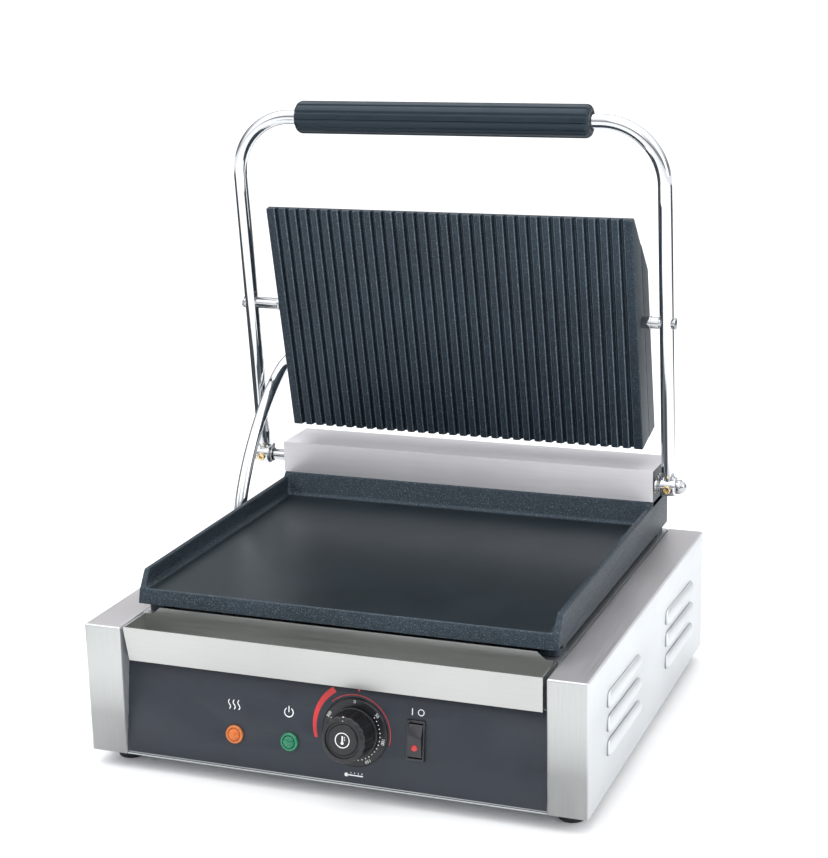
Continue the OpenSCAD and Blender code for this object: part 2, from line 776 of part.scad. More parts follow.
module conduit_gland_lower() {
  color("silver") home() translate([conduit_foot[0], conduit_foot[1], 0]) difference() {
    union() {
      cylinder_at(conduit_d + 2, body_z1 - 12, body_z1);
      translate([0, 0, body_z1]) cylinder(d = 17, h = 6, $fn = 6);
      cylinder_at(15, body_z1 + 6, conduit_foot[2]);
      translate([0, 0, body_z1 - sheet - 4]) cylinder(d = 18, h = 4, $fn = 6);
    }
    cylinder_at(7, body_z1 - 20, conduit_foot[2] + 1);
  }
}

module conduit_gland_upper() {
  color("silver") upper_frame() on_gland() difference() {
    union() {
      cylinder_at(conduit_d, -8, 0);
      cylinder(d = 16, h = 4, $fn = 6);
      cylinder_at(13, 4, gland_l);
      cylinder_at(16, -6, -2.6);
    }
    cylinder_at(7, -10, gland_l + 2);
  }
}

// ---------------------------------------------------------------- controls

module dial_plate() {
  color("black") on_panel(dial_x, control_s) difference() {
    cylinder(d1 = dial_d, d2 = dial_d - 3, h = 2);
    translate([0, 0, -1]) cylinder(d = 12, h = 4);
  }
}

module knob() {
  grips = 24;
  color("dimgray") on_panel(dial_x, control_s) difference() {
    union() {
      translate([0, 0, 2.4]) cylinder(d = knob_d + 2, h = 3);
      translate([0, 0, 5.4]) cylinder(d = knob_d, h = knob_l - 3);
    }
    translate([0, 0, 5.4 + knob_l - 3 - 2]) cylinder(d = knob_d - 10, h = 3);
    cylinder_at(dial_shaft_d, 1, 18);
    for (i = [0:grips - 1]) rotate([0, 0, i * 360 / grips]) translate([knob_d / 2 + 0.4, 0, 5.5])
      cylinder(d = 3, h = knob_l);
  }
}

module knob_cap() {
  color("silver") on_panel(dial_x, control_s) translate([0, 0, 5.4 + knob_l - 5]) cylinder(d = knob_d - 14, h = 1.4);
}

module thermostat_shaft() color("goldenrod") on_panel(dial_x, control_s) cylinder_at(dial_shaft_d, -16, 18);

module thermostat() {
  color("silver") on_panel(dial_x, control_s) difference() {
    union() {
      cylinder_at(10.6, -8, 1.6);
      translate([-20, -18, -32]) cube([40, 36, 24]);
      translate([-8, 14, -29]) cube([16, 8, 18]);
    }
    cylinder_at(dial_shaft_d + 2 * shaft_clear, -18, 3);
  }
}

module lamp_bezel(x) {
  on_panel(x, lamp_s) difference() {
    union() {
      cylinder(d1 = lamp_d, d2 = lamp_d - 2, h = 2);
      cylinder_at(lamp_d - 3.2, -20, 0);
      translate([0, 0, -5]) cylinder(d = lamp_d + 2, h = 3, $fn = 6);
    }
    cylinder_at(lamp_d - 5, -12, 3);
  }
}

module lamp_lens(x) {
  on_panel(x, lamp_s) {
    cylinder_at(lamp_d - 5, -12, 2);
    translate([0, 0, 2]) intersection() {
      translate([0, 0, -3]) sphere(d = lamp_d - 2.2);
      cylinder(d = lamp_d - 5, h = 10);
    }
  }
}

module heat_lamp_bezel() color("darkorange") lamp_bezel(heat_lamp_x);
module heat_lamp_lens() color("orange") lamp_lens(heat_lamp_x);
module power_lamp_bezel() color("seagreen") lamp_bezel(power_lamp_x);
module power_lamp_lens() color("green") lamp_lens(power_lamp_x);

rocker_w = switch_w - 3.2;
rocker_h = switch_h - 6;
rocker_pivot_z = -3.5;

module switch_frame() {
  color("black") on_panel(switch_x, control_s) difference() {
    union() {
      translate([-switch_w / 2, -switch_h / 2, 0]) cube([switch_w, switch_h, 1.8]);
      translate([-switch_w / 2 + 1, -switch_h / 2 + 1, -22]) cube([switch_w - 2, switch_h - 2, 22]);
      for (y = [-9, 0, 9]) translate([-3, y - 0.4, -30]) cube([6, 0.8, 9]);
    }
    translate([-rocker_w / 2 - 0.4, -rocker_h / 2 - 1.3, -12]) cube([rocker_w + 0.8, rocker_h + 2.6, 20]);
    translate([0, 0, rocker_pivot_z]) rod_x(2.1, -switch_w / 2 - 1, switch_w / 2 + 1);
  }
}

module switch_rocker() {
  half_h = rocker_h / 2;
  color("dimgray") on_panel(switch_x, control_s) {
    difference() {
      along_x(-rocker_w / 2, rocker_w / 2) polygon([
        [-half_h, -1.5], [-half_h, 2.4], [2, 4.8], [4.5, 4.8], [half_h, 1.2], [half_h, -1.5], [3, -7], [-3, -7]
      ]);
      translate([0, -half_h + 7.5, 1]) lens_recess();
    }
    translate([0, 0, rocker_pivot_z]) rod_x(2, -rocker_w / 2 - 0.9, rocker_w / 2 + 0.9);
  }
}

module lens_recess() translate([0, 0, 0.6]) cylinder(d = 5, h = 6);

module switch_lens() {
  color("red") on_panel(switch_x, control_s) translate([0, -rocker_h / 2 + 7.5, 1.6]) cylinder(d = 5, h = 2.6);
}

// ---------------------------------------------------------------- mains inlet

module inlet_gland() {
  color("black") home() translate([inlet_x, body_d, inlet_z]) rotate([-90, 0, 0]) difference() {
    union() {
      translate([0, 0, -14]) cylinder(d = inlet_d, h = 14);
      cylinder(d = 26, h = 5, $fn = 6);
      translate([0, 0, 5]) cylinder(d = 22, h = 9);
      translate([0, 0, 14]) cylinder(d1 = 20, d2 = 15, h = 8);
      translate([0, 0, -sheet - 5]) cylinder(d = 24, h = 5, $fn = 6);
    }
    translate([0, 0, -20]) cylinder(d = cord_d, h = 60);
  }
}

module terminal_block() {
  color("ivory") home() difference() {
    box(60, 108, body_d - 90, body_d - 66, body_z0 + sheet, body_z0 + 22);
    for (i = [0:3]) translate([66 + i * 12, body_d - 78, body_z0 + 12]) cylinder(d = 5, h = 20);
  }
}

base_pan();
side_cover_left();
side_cover_right();
rear_cover();
front_panel();
panel_film();
deck();
foot_front_left();
foot_front_right();
foot_rear_left();
foot_rear_right();
foot_screws();
drip_tray();
lower_plate();
lower_element();
lower_clamps();
lower_plate_bolts();
hinge_cover();
hinge_cover_screws();
bush_left();
bush_right();
hinge_shaft();
shaft_nuts();
shaft_clips();
set_screws();
spring_left();
spring_right();
spring_collars();
handle_tube();
grip();
tilt_pin_left();
tilt_pin_right();
upper_plate();
upper_cover();
upper_cover_screws();
upper_element();
upper_insulation();
conduit();
conduit_gland_lower();
conduit_gland_upper();
dial_plate();
knob();
knob_cap();
thermostat_shaft();
thermostat();
heat_lamp_bezel();
heat_lamp_lens();
power_lamp_bezel();
power_lamp_lens();
switch_frame();
switch_rocker();
switch_lens();
inlet_gland();
terminal_block();
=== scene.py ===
"""Looks of the panini press: each visible part's surface and finish, the floor, the light and the camera"""
import json
import math

import bmesh
import bpy
import numpy as np
from mathutils import Matrix, Vector


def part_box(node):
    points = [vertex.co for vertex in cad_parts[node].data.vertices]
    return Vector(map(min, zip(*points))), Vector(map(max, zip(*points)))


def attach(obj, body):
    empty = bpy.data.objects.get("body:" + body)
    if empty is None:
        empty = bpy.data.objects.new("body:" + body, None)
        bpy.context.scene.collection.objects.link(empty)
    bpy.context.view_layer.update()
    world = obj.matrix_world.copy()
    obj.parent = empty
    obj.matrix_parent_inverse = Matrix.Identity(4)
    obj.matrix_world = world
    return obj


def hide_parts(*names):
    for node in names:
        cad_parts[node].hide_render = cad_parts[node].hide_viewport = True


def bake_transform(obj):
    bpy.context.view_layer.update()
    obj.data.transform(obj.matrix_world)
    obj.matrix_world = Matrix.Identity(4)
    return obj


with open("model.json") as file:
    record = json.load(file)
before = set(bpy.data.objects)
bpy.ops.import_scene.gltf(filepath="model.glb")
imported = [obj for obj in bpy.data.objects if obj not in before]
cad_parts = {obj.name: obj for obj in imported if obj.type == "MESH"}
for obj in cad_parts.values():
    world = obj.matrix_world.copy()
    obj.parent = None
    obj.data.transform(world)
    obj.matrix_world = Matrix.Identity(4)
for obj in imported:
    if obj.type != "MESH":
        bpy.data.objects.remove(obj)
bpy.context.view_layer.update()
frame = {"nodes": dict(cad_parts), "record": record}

MM = 0.001
PANEL_HOLD = 0.12  # millimetres from a rounding to the extra line of points on the flat face beside it
HOLD = PANEL_HOLD * MM

record = frame["record"]
joint_at = {j["name"]: j for j in record["behaviour"]["joints"]}
hinge = np.array(joint_at["handle_hinge"]["pos_m"])
tilt_pin = np.array(joint_at["plate_tilt"]["pos_m"])
dial_centre = np.array(joint_at["knob_turn"]["pos_m"])
panel_out = np.array(joint_at["knob_turn"]["axis"])
closing = joint_at["handle_hinge"]["range_deg"][1]
tilting = [c for c in record["behaviour"]["couplings"] if c["joint"] == "plate_tilt"][0]["ratio"] * closing


def corners(node):
    """Lowest and highest corner of a CAD node as arrays"""
    low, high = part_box(node)
    return np.array(low), np.array(high)


# ---------------------------------------------------------------- shape tools

def unit(vectors):
    """Vectors divided by their length"""
    return vectors / np.linalg.norm(vectors, axis=-1, keepdims=True)


def fillet(outline, radii, steps=5, hold=HOLD):
    """Outline with rounded corners. Each corner becomes an arc that touches both of its sides: its centre lies
    on the corner's bisector, radius / sin(half the corner's angle) away, and the arc turns from one side's
    normal to the other's. A point just outside each end of the arc keeps the flat sides flat."""
    outline = np.array(outline, float)
    radii = np.maximum(np.broadcast_to(radii, outline.shape[-2]).astype(float), 1e-6)[:, None]
    back = unit(np.roll(outline, 1, -2) - outline)
    ahead = unit(np.roll(outline, -1, -2) - outline)
    half = np.arccos(np.clip(np.sum(back * ahead, -1, keepdims=True), -0.999999, 0.999999)) / 2
    reach = radii / np.tan(half)
    centre = outline + radii / np.sin(half) * unit(back + ahead)
    first, last = outline + back * reach - centre, outline + ahead * reach - centre
    turn = (math.pi - 2 * half)[..., None, :]
    s = np.linspace(0, 1, steps + 1)[:, None]
    arc = (np.sin((1 - s) * turn) * first[..., None, :] + np.sin(s * turn) * last[..., None, :]) / np.sin(turn)
    beyond = reach + np.minimum(hold, radii)
    points = np.concatenate([(outline + back * beyond)[..., None, :], centre[..., None, :] + arc,
                             (outline + ahead * beyond)[..., None, :]], -2)
    return points.reshape(*outline.shape[:-2], -1, 2)


def inset(outline, distance):
    """A counter-clockwise outline moved inwards: each point goes along the sum of its two sides' normals"""
    ahead = unit(np.roll(outline, -1, 0) - outline)
    behind = np.roll(ahead, 1, 0)
    normals = np.stack([-(ahead + behind)[:, 1], (ahead + behind)[:, 0]], 1)
    return outline + distance * normals / (1 + np.sum(ahead * behind, 1))[:, None]


def grid_faces(rows, columns, close_columns=False):
    """Quads between neighbouring rows and columns of a grid of points, wrapped round where columns close"""
    r = np.arange(rows - 1)[:, None]
    c = np.arange(columns if close_columns else columns - 1)[None, :]
    r1, c1 = r + 1, (c + 1) % columns
    quads = np.stack(np.broadcast_arrays(r * columns + c, r * columns + c1, r1 * columns + c1, r1 * columns + c), -1)
    return quads.reshape(-1, 4).tolist()


def loft(rings, caps=True):
    """Points and faces of a skin over closed rings of equal count, with its two ends closed by flat faces"""
    rows, columns = rings.shape[:2]
    faces = grid_faces(rows, columns, close_columns=True)
    if caps:
        faces += [list(range(columns))[::-1], list(range((rows - 1) * columns, rows * columns))]
    return rings.reshape(-1, 3), faces


def prism(outline, start, end, edge):
    """An outline carried straight up from start to end. Near each end it shrinks by edge * (1 - sin) while
    it moves on by edge * (1 - cos), which makes quarter-round edges."""
    angle = np.linspace(0, math.pi / 2, 4)
    shrink = np.concatenate([[edge + HOLD], edge * (1 - np.sin(angle)), [0]])
    along = np.concatenate([[0], edge * (1 - np.cos(angle)), [edge + HOLD]])
    shrinks, places = np.concatenate([shrink, shrink[::-1]]), np.concatenate([start + along, end - along[::-1]])
    rings = np.stack([np.column_stack([inset(outline, d), np.full(len(outline), p)]) for d, p in zip(shrinks, places)])
    return loft(rings)


def revolve(profile, centre, axis, sides):
    """A profile of (radius, height) turned about an axis"""
    axis = unit(np.array(axis, float))
    side = unit(np.cross(axis, [0.0, 0.31, 0.95] if abs(axis[0]) > 0.9 else [1.0, 0.0, 0.0]))
    turn = np.linspace(0, 2 * math.pi, sides, endpoint=False)
    radius, height = np.hsplit(np.array(profile), 2)
    around = np.cos(turn)[:, None] * side + np.sin(turn)[:, None] * np.cross(axis, side)
    return loft(np.array(centre) + radius[..., None] * around + height[..., None] * axis)


def tube(path, radius, upright, sides):
    """Circles carried along a path. Each circle stands across the path's direction, with its first axis at
    right angles to both that direction and upright, so it never twists."""
    tangent = unit(np.gradient(path, axis=0))
    first = unit(np.cross(tangent, upright))
    second = np.cross(tangent, first)
    turn = np.linspace(0, 2 * math.pi, sides, endpoint=False)[:, None]
    ring = np.cos(turn) * first[:, None] + np.sin(turn) * second[:, None]
    return loft(path[:, None] + np.broadcast_to(radius, len(path))[:, None, None] * ring)


def flat_strip(path, width, height):
    """A strip of print: the path's points moved half the width to each side, at one height above the face"""
    path = np.array(path, float)
    tangent = unit(np.gradient(path, axis=0))
    side = np.stack([-tangent[:, 1], tangent[:, 0]], 1) * np.broadcast_to(width, len(path))[:, None] / 2
    points = np.stack([path - side, path + side], 1).reshape(-1, 2)
    return np.column_stack([points, np.full(len(points), height)]), grid_faces(len(path), 2)


def rod(a, b, radius, edge, sides=40):
    """A straight round bar from a to b with quarter-round ends"""
    a, b = np.array(a, float), np.array(b, float)
    angle = np.linspace(0, math.pi / 2, 4)
    length = np.linalg.norm(b - a)
    end = np.column_stack([radius - edge * (1 - np.sin(angle)), edge * (1 - np.cos(angle))])
    end = np.vstack([[[radius - edge - HOLD, 0]], end, [[radius, edge + HOLD]]])
    far = np.column_stack([end[::-1, 0], length - end[::-1, 1]])
    return revolve(np.vstack([end, far]), a, b - a, sides)


def joined(*parts):
    """Several sets of points and faces as one"""
    points, faces, count = [], [], 0
    for verts, part_faces in parts:
        points.append(verts)
        faces += [[i + count for i in face] for face in part_faces]
        count += len(verts)
    return np.vstack(points), faces


def piece(name, shape, body, finishes, stands_for=(), zone=None, sheet=0):
    """Puts a surface into a mesh, merges its seams and poles, turns its faces outwards and fixes it to a body.
    zone gives each face's finish from the faces' middles. sheet is a wall's thickness, added behind the faces,
    or in front of them where it is negative."""
    points, faces = shape
    mesh = bpy.data.meshes.new(name)
    mesh.from_pydata(points.tolist(), [], faces)
    for look in finishes:
        mesh.materials.append(look)
    if zone:
        middles = np.array([points[face].mean(0) for face in faces])
        mesh.polygons.foreach_set("material_index", zone(middles).astype(np.int32))
    work = bmesh.new()
    work.from_mesh(mesh)
    bmesh.ops.remove_doubles(work, verts=work.verts, dist=1e-7)
    if not sheet:
        bmesh.ops.recalc_face_normals(work, faces=work.faces)
    work.to_mesh(mesh)
    work.free()
    return fixed(name, mesh, body, stands_for, sheet)


def fixed(name, mesh, body, stands_for, sheet=0):
    """Shades a mesh smoothly, makes it an object and fixes it to a body"""
    mesh.polygons.foreach_set("use_smooth", np.ones(len(mesh.polygons), bool))
    made = bpy.data.objects.new(name, mesh)
    bpy.context.collection.objects.link(made)
    if sheet:
        wall = made.modifiers.new("wall", "SOLIDIFY")
        wall.thickness, wall.offset = abs(sheet), -1 if sheet > 0 else 1
    if body:
        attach(made, body)
    if stands_for:
        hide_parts(*stands_for)
    return made


def softened(node, body, look, edge, steps=3):
    """A CAD part's own surface with its loose triangles merged into whole faces and its edges rounded"""
    work = bmesh.new()
    work.from_mesh(frame["nodes"][node].data)
    bmesh.ops.remove_doubles(work, verts=work.verts, dist=2e-6)
    bmesh.ops.dissolve_limit(work, angle_limit=math.radians(1.5), verts=work.verts, edges=work.edges)
    mesh = bpy.data.meshes.new(node + "_finished")
    work.to_mesh(mesh)
    work.free()
    mesh.materials.clear()
    mesh.materials.append(look)
    made = fixed(node + "_finished", mesh, body, [node])
    bevel = made.modifiers.new("edges", "BEVEL")
    bevel.width, bevel.segments = edge, steps
    bevel.limit_method, bevel.angle_limit = "ANGLE", math.radians(32)
    bevel.harden_normals = True


# ---------------------------------------------------------------- finishes

def finish(name, colour, metal=0.0, rough=0.5, coat=0.0, coat_rough=0.1, gloss=(1, 1, 1)):
    """A new finish with plain values on its shader's own sockets"""
    material = bpy.data.materials.new(name)
    material.use_nodes = True
    shader = material.node_tree.nodes["Principled BSDF"]
    shader.inputs["Base Color"].default_value = (*colour, 1)
    shader.inputs["Metallic"].default_value = metal
    shader.inputs["Roughness"].default_value = rough
    shader.inputs["Coat Weight"].default_value = coat
    shader.inputs["Coat Roughness"].default_value = coat_rough
    shader.inputs["IOR"].default_value = 1.5
    shader.inputs["Specular Tint"].default_value = (*gloss, 1)
    return material


def noise(material, scale, stretch=(1, 1, 1), detail=3.0, kind="ShaderNodeTexNoise"):
    """A pattern on the part's own coordinates; stretch squeezes it along each axis"""
    nodes, links = material.node_tree.nodes, material.node_tree.links
    place = nodes.new("ShaderNodeTexCoord")
    mapping = nodes.new("ShaderNodeMapping")
    mapping.inputs["Scale"].default_value = stretch
    pattern = nodes.new(kind)
    pattern.inputs["Scale"].default_value = scale
    if kind == "ShaderNodeTexNoise":
        pattern.inputs["Detail"].default_value = detail
    links.new(place.outputs["Object"], mapping.inputs["Vector"])
    links.new(mapping.outputs["Vector"], pattern.inputs["Vector"])
    return pattern.outputs["Distance" if kind == "ShaderNodeTexVoronoi" else "Fac"]


def ramp(material, value, stops):
    """Turns a pattern's value into colours or greys at the given places"""
    node = material.node_tree.nodes.new("ShaderNodeValToRGB")
    material.node_tree.links.new(value, node.inputs["Fac"])
    elements = node.color_ramp.elements
    while len(elements) < len(stops):
        elements.new(0.5)
    for element, (place, colour) in zip(elements, stops):
        element.position = place
        element.color = (*colour, 1) if isinstance(colour, tuple) else (colour, colour, colour, 1)
    return node.outputs["Color"]


def mixed(material, share, first, second, how="MIX"):
    """Mixes two colours, each a socket or a plain colour"""
    node = material.node_tree.nodes.new("ShaderNodeMix")
    node.data_type, node.blend_type = "RGBA", how
    for socket, value in ((node.inputs[0], share), (node.inputs[6], first), (node.inputs[7], second)):
        if isinstance(value, (int, float)):
            socket.default_value = value
        elif isinstance(value, tuple):
            socket.default_value = (*value, 1)
        else:
            material.node_tree.links.new(value, socket)
    return node.outputs[2]


def feed(material, socket, value):
    """Connects a value to one of the shader's sockets"""
    material.node_tree.links.new(value, material.node_tree.nodes["Principled BSDF"].inputs[socket])


def relief(material, height, depth, strength, under=None):
    """Adds fine relief of the given depth from a pattern, over an earlier relief if there is one"""
    node = material.node_tree.nodes.new("ShaderNodeBump")
    node.inputs["Strength"].default_value = strength
    node.inputs["Distance"].default_value = depth
    material.node_tree.links.new(height, node.inputs["Height"])
    if under:
        material.node_tree.links.new(under, node.inputs["Normal"])
    feed(material, "Normal", node.outputs["Normal"])
    return node.outputs["Normal"]


def brushed(name, colour, grain, rough=0.3, contrast=0.12, metal=1.0):
    """Stainless sheet: fine lines along the grain, a cloudy change of tone and a few deeper scratches"""
    steel = finish(name, colour, metal=metal, rough=rough)
    squeeze = tuple(1.0 if axis == grain else 60.0 for axis in "xyz")
    lines = noise(steel, 22, squeeze, 4)
    clouds = noise(steel, 9, (1, 1, 1), 3)
    scratches = noise(steel, 7, tuple(1.0 if axis == grain else 90.0 for axis in "xyz"), 1)
    dark, light = tuple(c * (1 - contrast) for c in colour), tuple(min(1, c * (1 + contrast / 2)) for c in colour)
    tone = ramp(steel, lines, [(0.25, dark), (0.75, light)])
    cloud = ramp(steel, clouds, [(0.3, 0.9), (0.7, 1.0)])
    feed(steel, "Base Color", mixed(steel, 1.0, tone, cloud, "MULTIPLY"))
    feed(steel, "Roughness", ramp(steel, lines, [(0.2, rough - 0.06), (0.8, rough + 0.1)]))
    first = relief(steel, lines, 0.03 * MM, 0.35)
    relief(steel, ramp(steel, scratches, [(0.32, 0.0), (0.36, 1.0)]), 0.02 * MM, 0.3, first)
    return steel


def cast(name, colour, speck, rough, grain_depth, spread):
    """Cast iron under thin black enamel: fine sand grain, pale specks where it catches, cloudy gloss"""
    iron = finish(name, colour, rough=rough, gloss=(0.70, 0.86, 1.0))
    grain = noise(iron, 1300, (1, 1, 1), 2)
    pits = noise(iron, 520, (1, 1, 1), 1, "ShaderNodeTexVoronoi")
    clouds = noise(iron, 16, (1, 1, 1), 3)
    base = ramp(iron, clouds, [(0.3, tuple(c * 0.75 for c in colour)), (0.7, tuple(c * 1.3 for c in colour))])
    flecks = ramp(iron, grain, [(spread, 0.0), (spread + 0.22, 1.0)])
    feed(iron, "Base Color", mixed(iron, flecks, base, speck))
    feed(iron, "Roughness", ramp(iron, clouds, [(0.3, rough - 0.02), (0.7, rough + 0.03)]))
    first = relief(iron, grain, grain_depth, 0.8)
    relief(iron, pits, grain_depth * 1.6, 0.35, first)
    return iron


def chrome_plate(name, colour, rough):
    """Chrome plate: mirror bright, with faint haze and very slight unevenness"""
    plate = finish(name, colour, metal=1.0, rough=rough)
    haze = noise(plate, 35, (1, 1, 1), 4)
    wave = noise(plate, 120, (1, 1, 0.2), 2)
    feed(plate, "Roughness", ramp(plate, haze, [(0.35, rough - 0.03), (0.75, rough + 0.07)]))
    feed(plate, "Base Color", ramp(plate, haze, [(0.3, tuple(c * 0.97 for c in colour)), (0.8, colour)]))
    relief(plate, wave, 0.02 * MM, 0.25)
    return plate


def moulded(name, colour, rough, grain=0.02, coat=0.0, gloss=(1, 1, 1)):
    """Moulded plastic: slight mottling, fine spark texture and soft handling marks in its gloss"""
    plastic = finish(name, colour, rough=rough, coat=coat, gloss=gloss)
    mottle = noise(plastic, 60, (1, 1, 1), 4)
    texture = noise(plastic, 1500, (1, 1, 1), 2)
    feed(plastic, "Base Color", ramp(plastic, mottle, [(0.3, tuple(c * 0.82 for c in colour)),
                                                     (0.7, tuple(min(1, c * 1.18) for c in colour))]))
    feed(plastic, "Roughness", ramp(plastic, mottle, [(0.3, rough - 0.05), (0.7, rough + 0.08)]))
    relief(plastic, texture, grain * MM, 0.5)
    return plastic


def lens(name, deep, bright):
    """Tinted lamp plastic: a small diamond relief behind a clear coat, brighter where the relief rises"""
    glass = finish(name, bright, rough=0.24, coat=0.35, coat_rough=0.08)
    facets = noise(glass, 1500, (1, 1, 1), 1, "ShaderNodeTexVoronoi")
    feed(glass, "Base Color", ramp(glass, facets, [(0.1, bright), (0.7, deep)]))
    relief(glass, facets, 0.25 * MM, 0.7)
    return glass


# One stainless in three tones, chosen by which way the face looks: painted light on the sides and tops, painted shade
# on the cheeks' fronts. The different grain directions are real.
side_steel_painted_light = brushed("stainless_sides_painted_light", (0.70, 0.725, 0.74), "y", 0.44, 0.05, 0.75)
top_steel_painted_light = brushed("stainless_tops_painted_light", (0.60, 0.58, 0.59), "y", 0.40, 0.06, 0.85)
cheek_steel_painted_shade = brushed("stainless_cheeks_painted_shade", (0.54, 0.555, 0.545), "z", 0.42, 0.08, 0.85)
front_steel = brushed("stainless_front", (0.50, 0.525, 0.53), "x", 0.36, 0.09)
cover_steel = brushed("stainless_hinge_cover", (0.84, 0.82, 0.85), "x", 0.46, 0.05, 0.62)
tray_steel = brushed("stainless_tray", (0.52, 0.53, 0.515), "x", 0.36, 0.06)
zinc = brushed("zinc_plate", (0.62, 0.64, 0.66), "x", 0.42, 0.16)
rough_iron = cast("iron_as_cast", (0.011, 0.017, 0.023), (0.13, 0.165, 0.19), 0.46, 0.20 * MM, 0.54)
floor_iron = cast("iron_griddle_floor", (0.006, 0.010, 0.012), (0.05, 0.065, 0.07), 0.36, 0.05 * MM, 0.60)
rib_iron = cast("iron_ribs", (0.007, 0.012, 0.019), (0.10, 0.13, 0.16), 0.44, 0.16 * MM, 0.54)
# Lighter, glossier iron for the ribs' rounded shoulders: partly enamel worn thin, partly a painted highlight along
# each rib's edge.
worn_and_highlight_iron = cast("iron_worn_edge_and_painted_highlight", (0.050, 0.070, 0.085), (0.26, 0.31, 0.34), 0.32, 0.10 * MM, 0.50)
chrome = chrome_plate("chrome_tube", (0.66, 0.68, 0.70), 0.06)
pin_chrome = chrome_plate("chrome_pins", (0.50, 0.51, 0.52), 0.18)
brass = chrome_plate("brass_fittings", (0.80, 0.62, 0.33), 0.2)
bronze = chrome_plate("oiled_bronze", (0.22, 0.17, 0.12), 0.4)
spring_wire = chrome_plate("spring_wire", (0.40, 0.41, 0.43), 0.3)
grip_plastic = moulded("grip_plastic", (0.005, 0.010, 0.017), 0.42, 0.02, gloss=(0.7, 0.88, 1.0))
knob_plastic = moulded("knob_plastic", (0.009, 0.010, 0.012), 0.34, 0.02)
dial_plastic = moulded("dial_plastic", (0.008, 0.009, 0.011), 0.30, 0.01)
switch_plastic = moulded("switch_plastic", (0.020, 0.022, 0.026), 0.28, 0.01)
gland_plastic = moulded("gland_plastic", (0.025, 0.026, 0.028), 0.45, 0.03)
film = moulded("panel_film_slate", (0.015, 0.021, 0.032), 0.48, 0.012)
rubber = moulded("foot_rubber", (0.012, 0.016, 0.018), 0.65, 0.05)
white_ink = moulded("white_ink", (0.82, 0.83, 0.84), 0.5, 0.01)
red_ink = moulded("red_ink", (0.60, 0.030, 0.035), 0.45, 0.01)
amber_lens = lens("amber_lens", (0.55, 0.10, 0.005), (0.85, 0.21, 0.015))
green_lens = lens("green_lens", (0.0, 0.12, 0.055), (0.0, 0.30, 0.14))
red_lens = lens("red_lens", (0.40, 0.01, 0.01), (0.85, 0.05, 0.05))
amber_bezel = moulded("amber_bezel", (0.55, 0.15, 0.02), 0.25, 0.01, 0.5)
green_bezel = moulded("green_bezel", (0.0, 0.19, 0.09), 0.25, 0.01, 0.5)
heater_sheath = brushed("heater_sheath", (0.25, 0.24, 0.24), "x", 0.5, 0.2)
wool = moulded("mineral_wool", (0.60, 0.54, 0.40), 0.9, 0.2)
ceramic = moulded("terminal_ceramic", (0.80, 0.77, 0.70), 0.5, 0.03)

# ---------------------------------------------------------------- sheet-metal body

side_low, side_high = corners("side_cover_right")
pan_low, pan_high = corners("base_pan")
cover_low, cover_high = corners("hinge_cover")
front_y = side_low[1]
SHEET_T = 1.2 * MM
wall_x = pan_high[0] + SHEET_T


def bent_box(low, high, corner, edge):
    """Sheet metal bent to a box that is open below: a rounded outline carried straight up, then drawn in by a
    quarter circle to a flat top"""
    outline = fillet([[low[0], low[1]], [high[0], low[1]], [high[0], high[1]], [low[0], high[1]]], corner, 5)
    angle = np.linspace(0, math.pi / 2, 6)
    shrink = np.concatenate([[0, 0], edge * (1 - np.cos(angle)), [edge + HOLD]])
    height = np.concatenate([[low[2], high[2] - edge - HOLD], high[2] - edge * (1 - np.sin(angle)), [high[2]]])
    rings = np.stack([np.column_stack([inset(outline, d), np.full(len(outline), z)]) for d, z in zip(shrink, height)])
    points, faces = loft(rings, caps=False)
    return points, faces + [list(range(len(points) - len(outline), len(points)))]


def cheek_zone(middles):
    """1 on the cheeks' front faces, 2 on their tops, 0 elsewhere. Each gets its own tone of the same stainless:
    painted light on the sides and tops, painted shade on the cheeks' fronts.
    """
    skin = 0.4 * MM
    top = np.where(middles[:, 2] > side_high[2] - skin, 2, 0)
    return np.where(middles[:, 1] < front_y + skin, 1, top)


cheek_gap = 0.3 * MM
# The cheeks' fronts, tops and sides take the painted light and painted shade copies of the stainless.
for turn, side in ((-1, "left"), (1, "right")):
    across = sorted([turn * (cover_high[0] + cheek_gap), turn * wall_x])
    box = bent_box([across[0], *side_low[1:]], [across[1], *side_high[1:]], 1.6 * MM, 1.5 * MM)
    piece("side_sheet_" + side, box, "body", [side_steel_painted_light, cheek_steel_painted_shade, top_steel_painted_light],
          ["side_cover_" + side], cheek_zone, sheet=SHEET_T)

LOUVRE_L, LOUVRE_H, LOUVRE_OUT, LOUVRE_T = 97 * MM, 11.2 * MM, 2.5 * MM, 0.9 * MM
LOUVRE_COLUMNS, LOUVRE_ROW, LOUVRE_PITCH = (52 * MM, 235 * MM), 28.7 * MM, 19.4 * MM


def louvre(start, base, turn):
    """One pressed louvre: a quarter ellipse from the wall's face at its top line out to its lip. Its stand-out
    rises and falls smoothly at its two ends, and its top line is highest near its front end."""
    along = np.concatenate([np.linspace(0, 0.12, 9), np.linspace(0.16, 0.9, 14), np.linspace(0.92, 1, 7)])
    across = np.linspace(0, 1, 9)
    u, v = np.meshgrid(along, across, indexing="ij")
    rise = np.clip(u / 0.07, 0, 1)
    rise = np.sqrt(np.clip(1 - (1 - rise) ** 2, 0, 1))
    fall = np.clip((1 - u) / 0.10, 0, 1)
    fall = np.sqrt(np.clip(1 - (1 - fall) ** 2, 0, 1))
    out = LOUVRE_OUT * rise * fall
    tall = (LOUVRE_H - 4.2 * MM * u) * np.sqrt(rise) * (0.35 + 0.65 * fall)
    x = wall_x - 0.05 * MM + out * np.sin(v * math.pi / 2)
    z = base + tall * np.cos(v * math.pi / 2)
    points = np.stack([turn * x, start + u * LOUVRE_L, z], -1).reshape(-1, 3)
    return points, grid_faces(len(along), len(across))


for turn, side in ((-1, "left"), (1, "right")):
    hoods = [louvre(front_y + column, pan_low[2] + LOUVRE_ROW + row * LOUVRE_PITCH, turn)
             for column in LOUVRE_COLUMNS for row in range(3)]
    piece("louvres_" + side, joined(*hoods), "body", [side_steel_painted_light], sheet=-turn * LOUVRE_T)

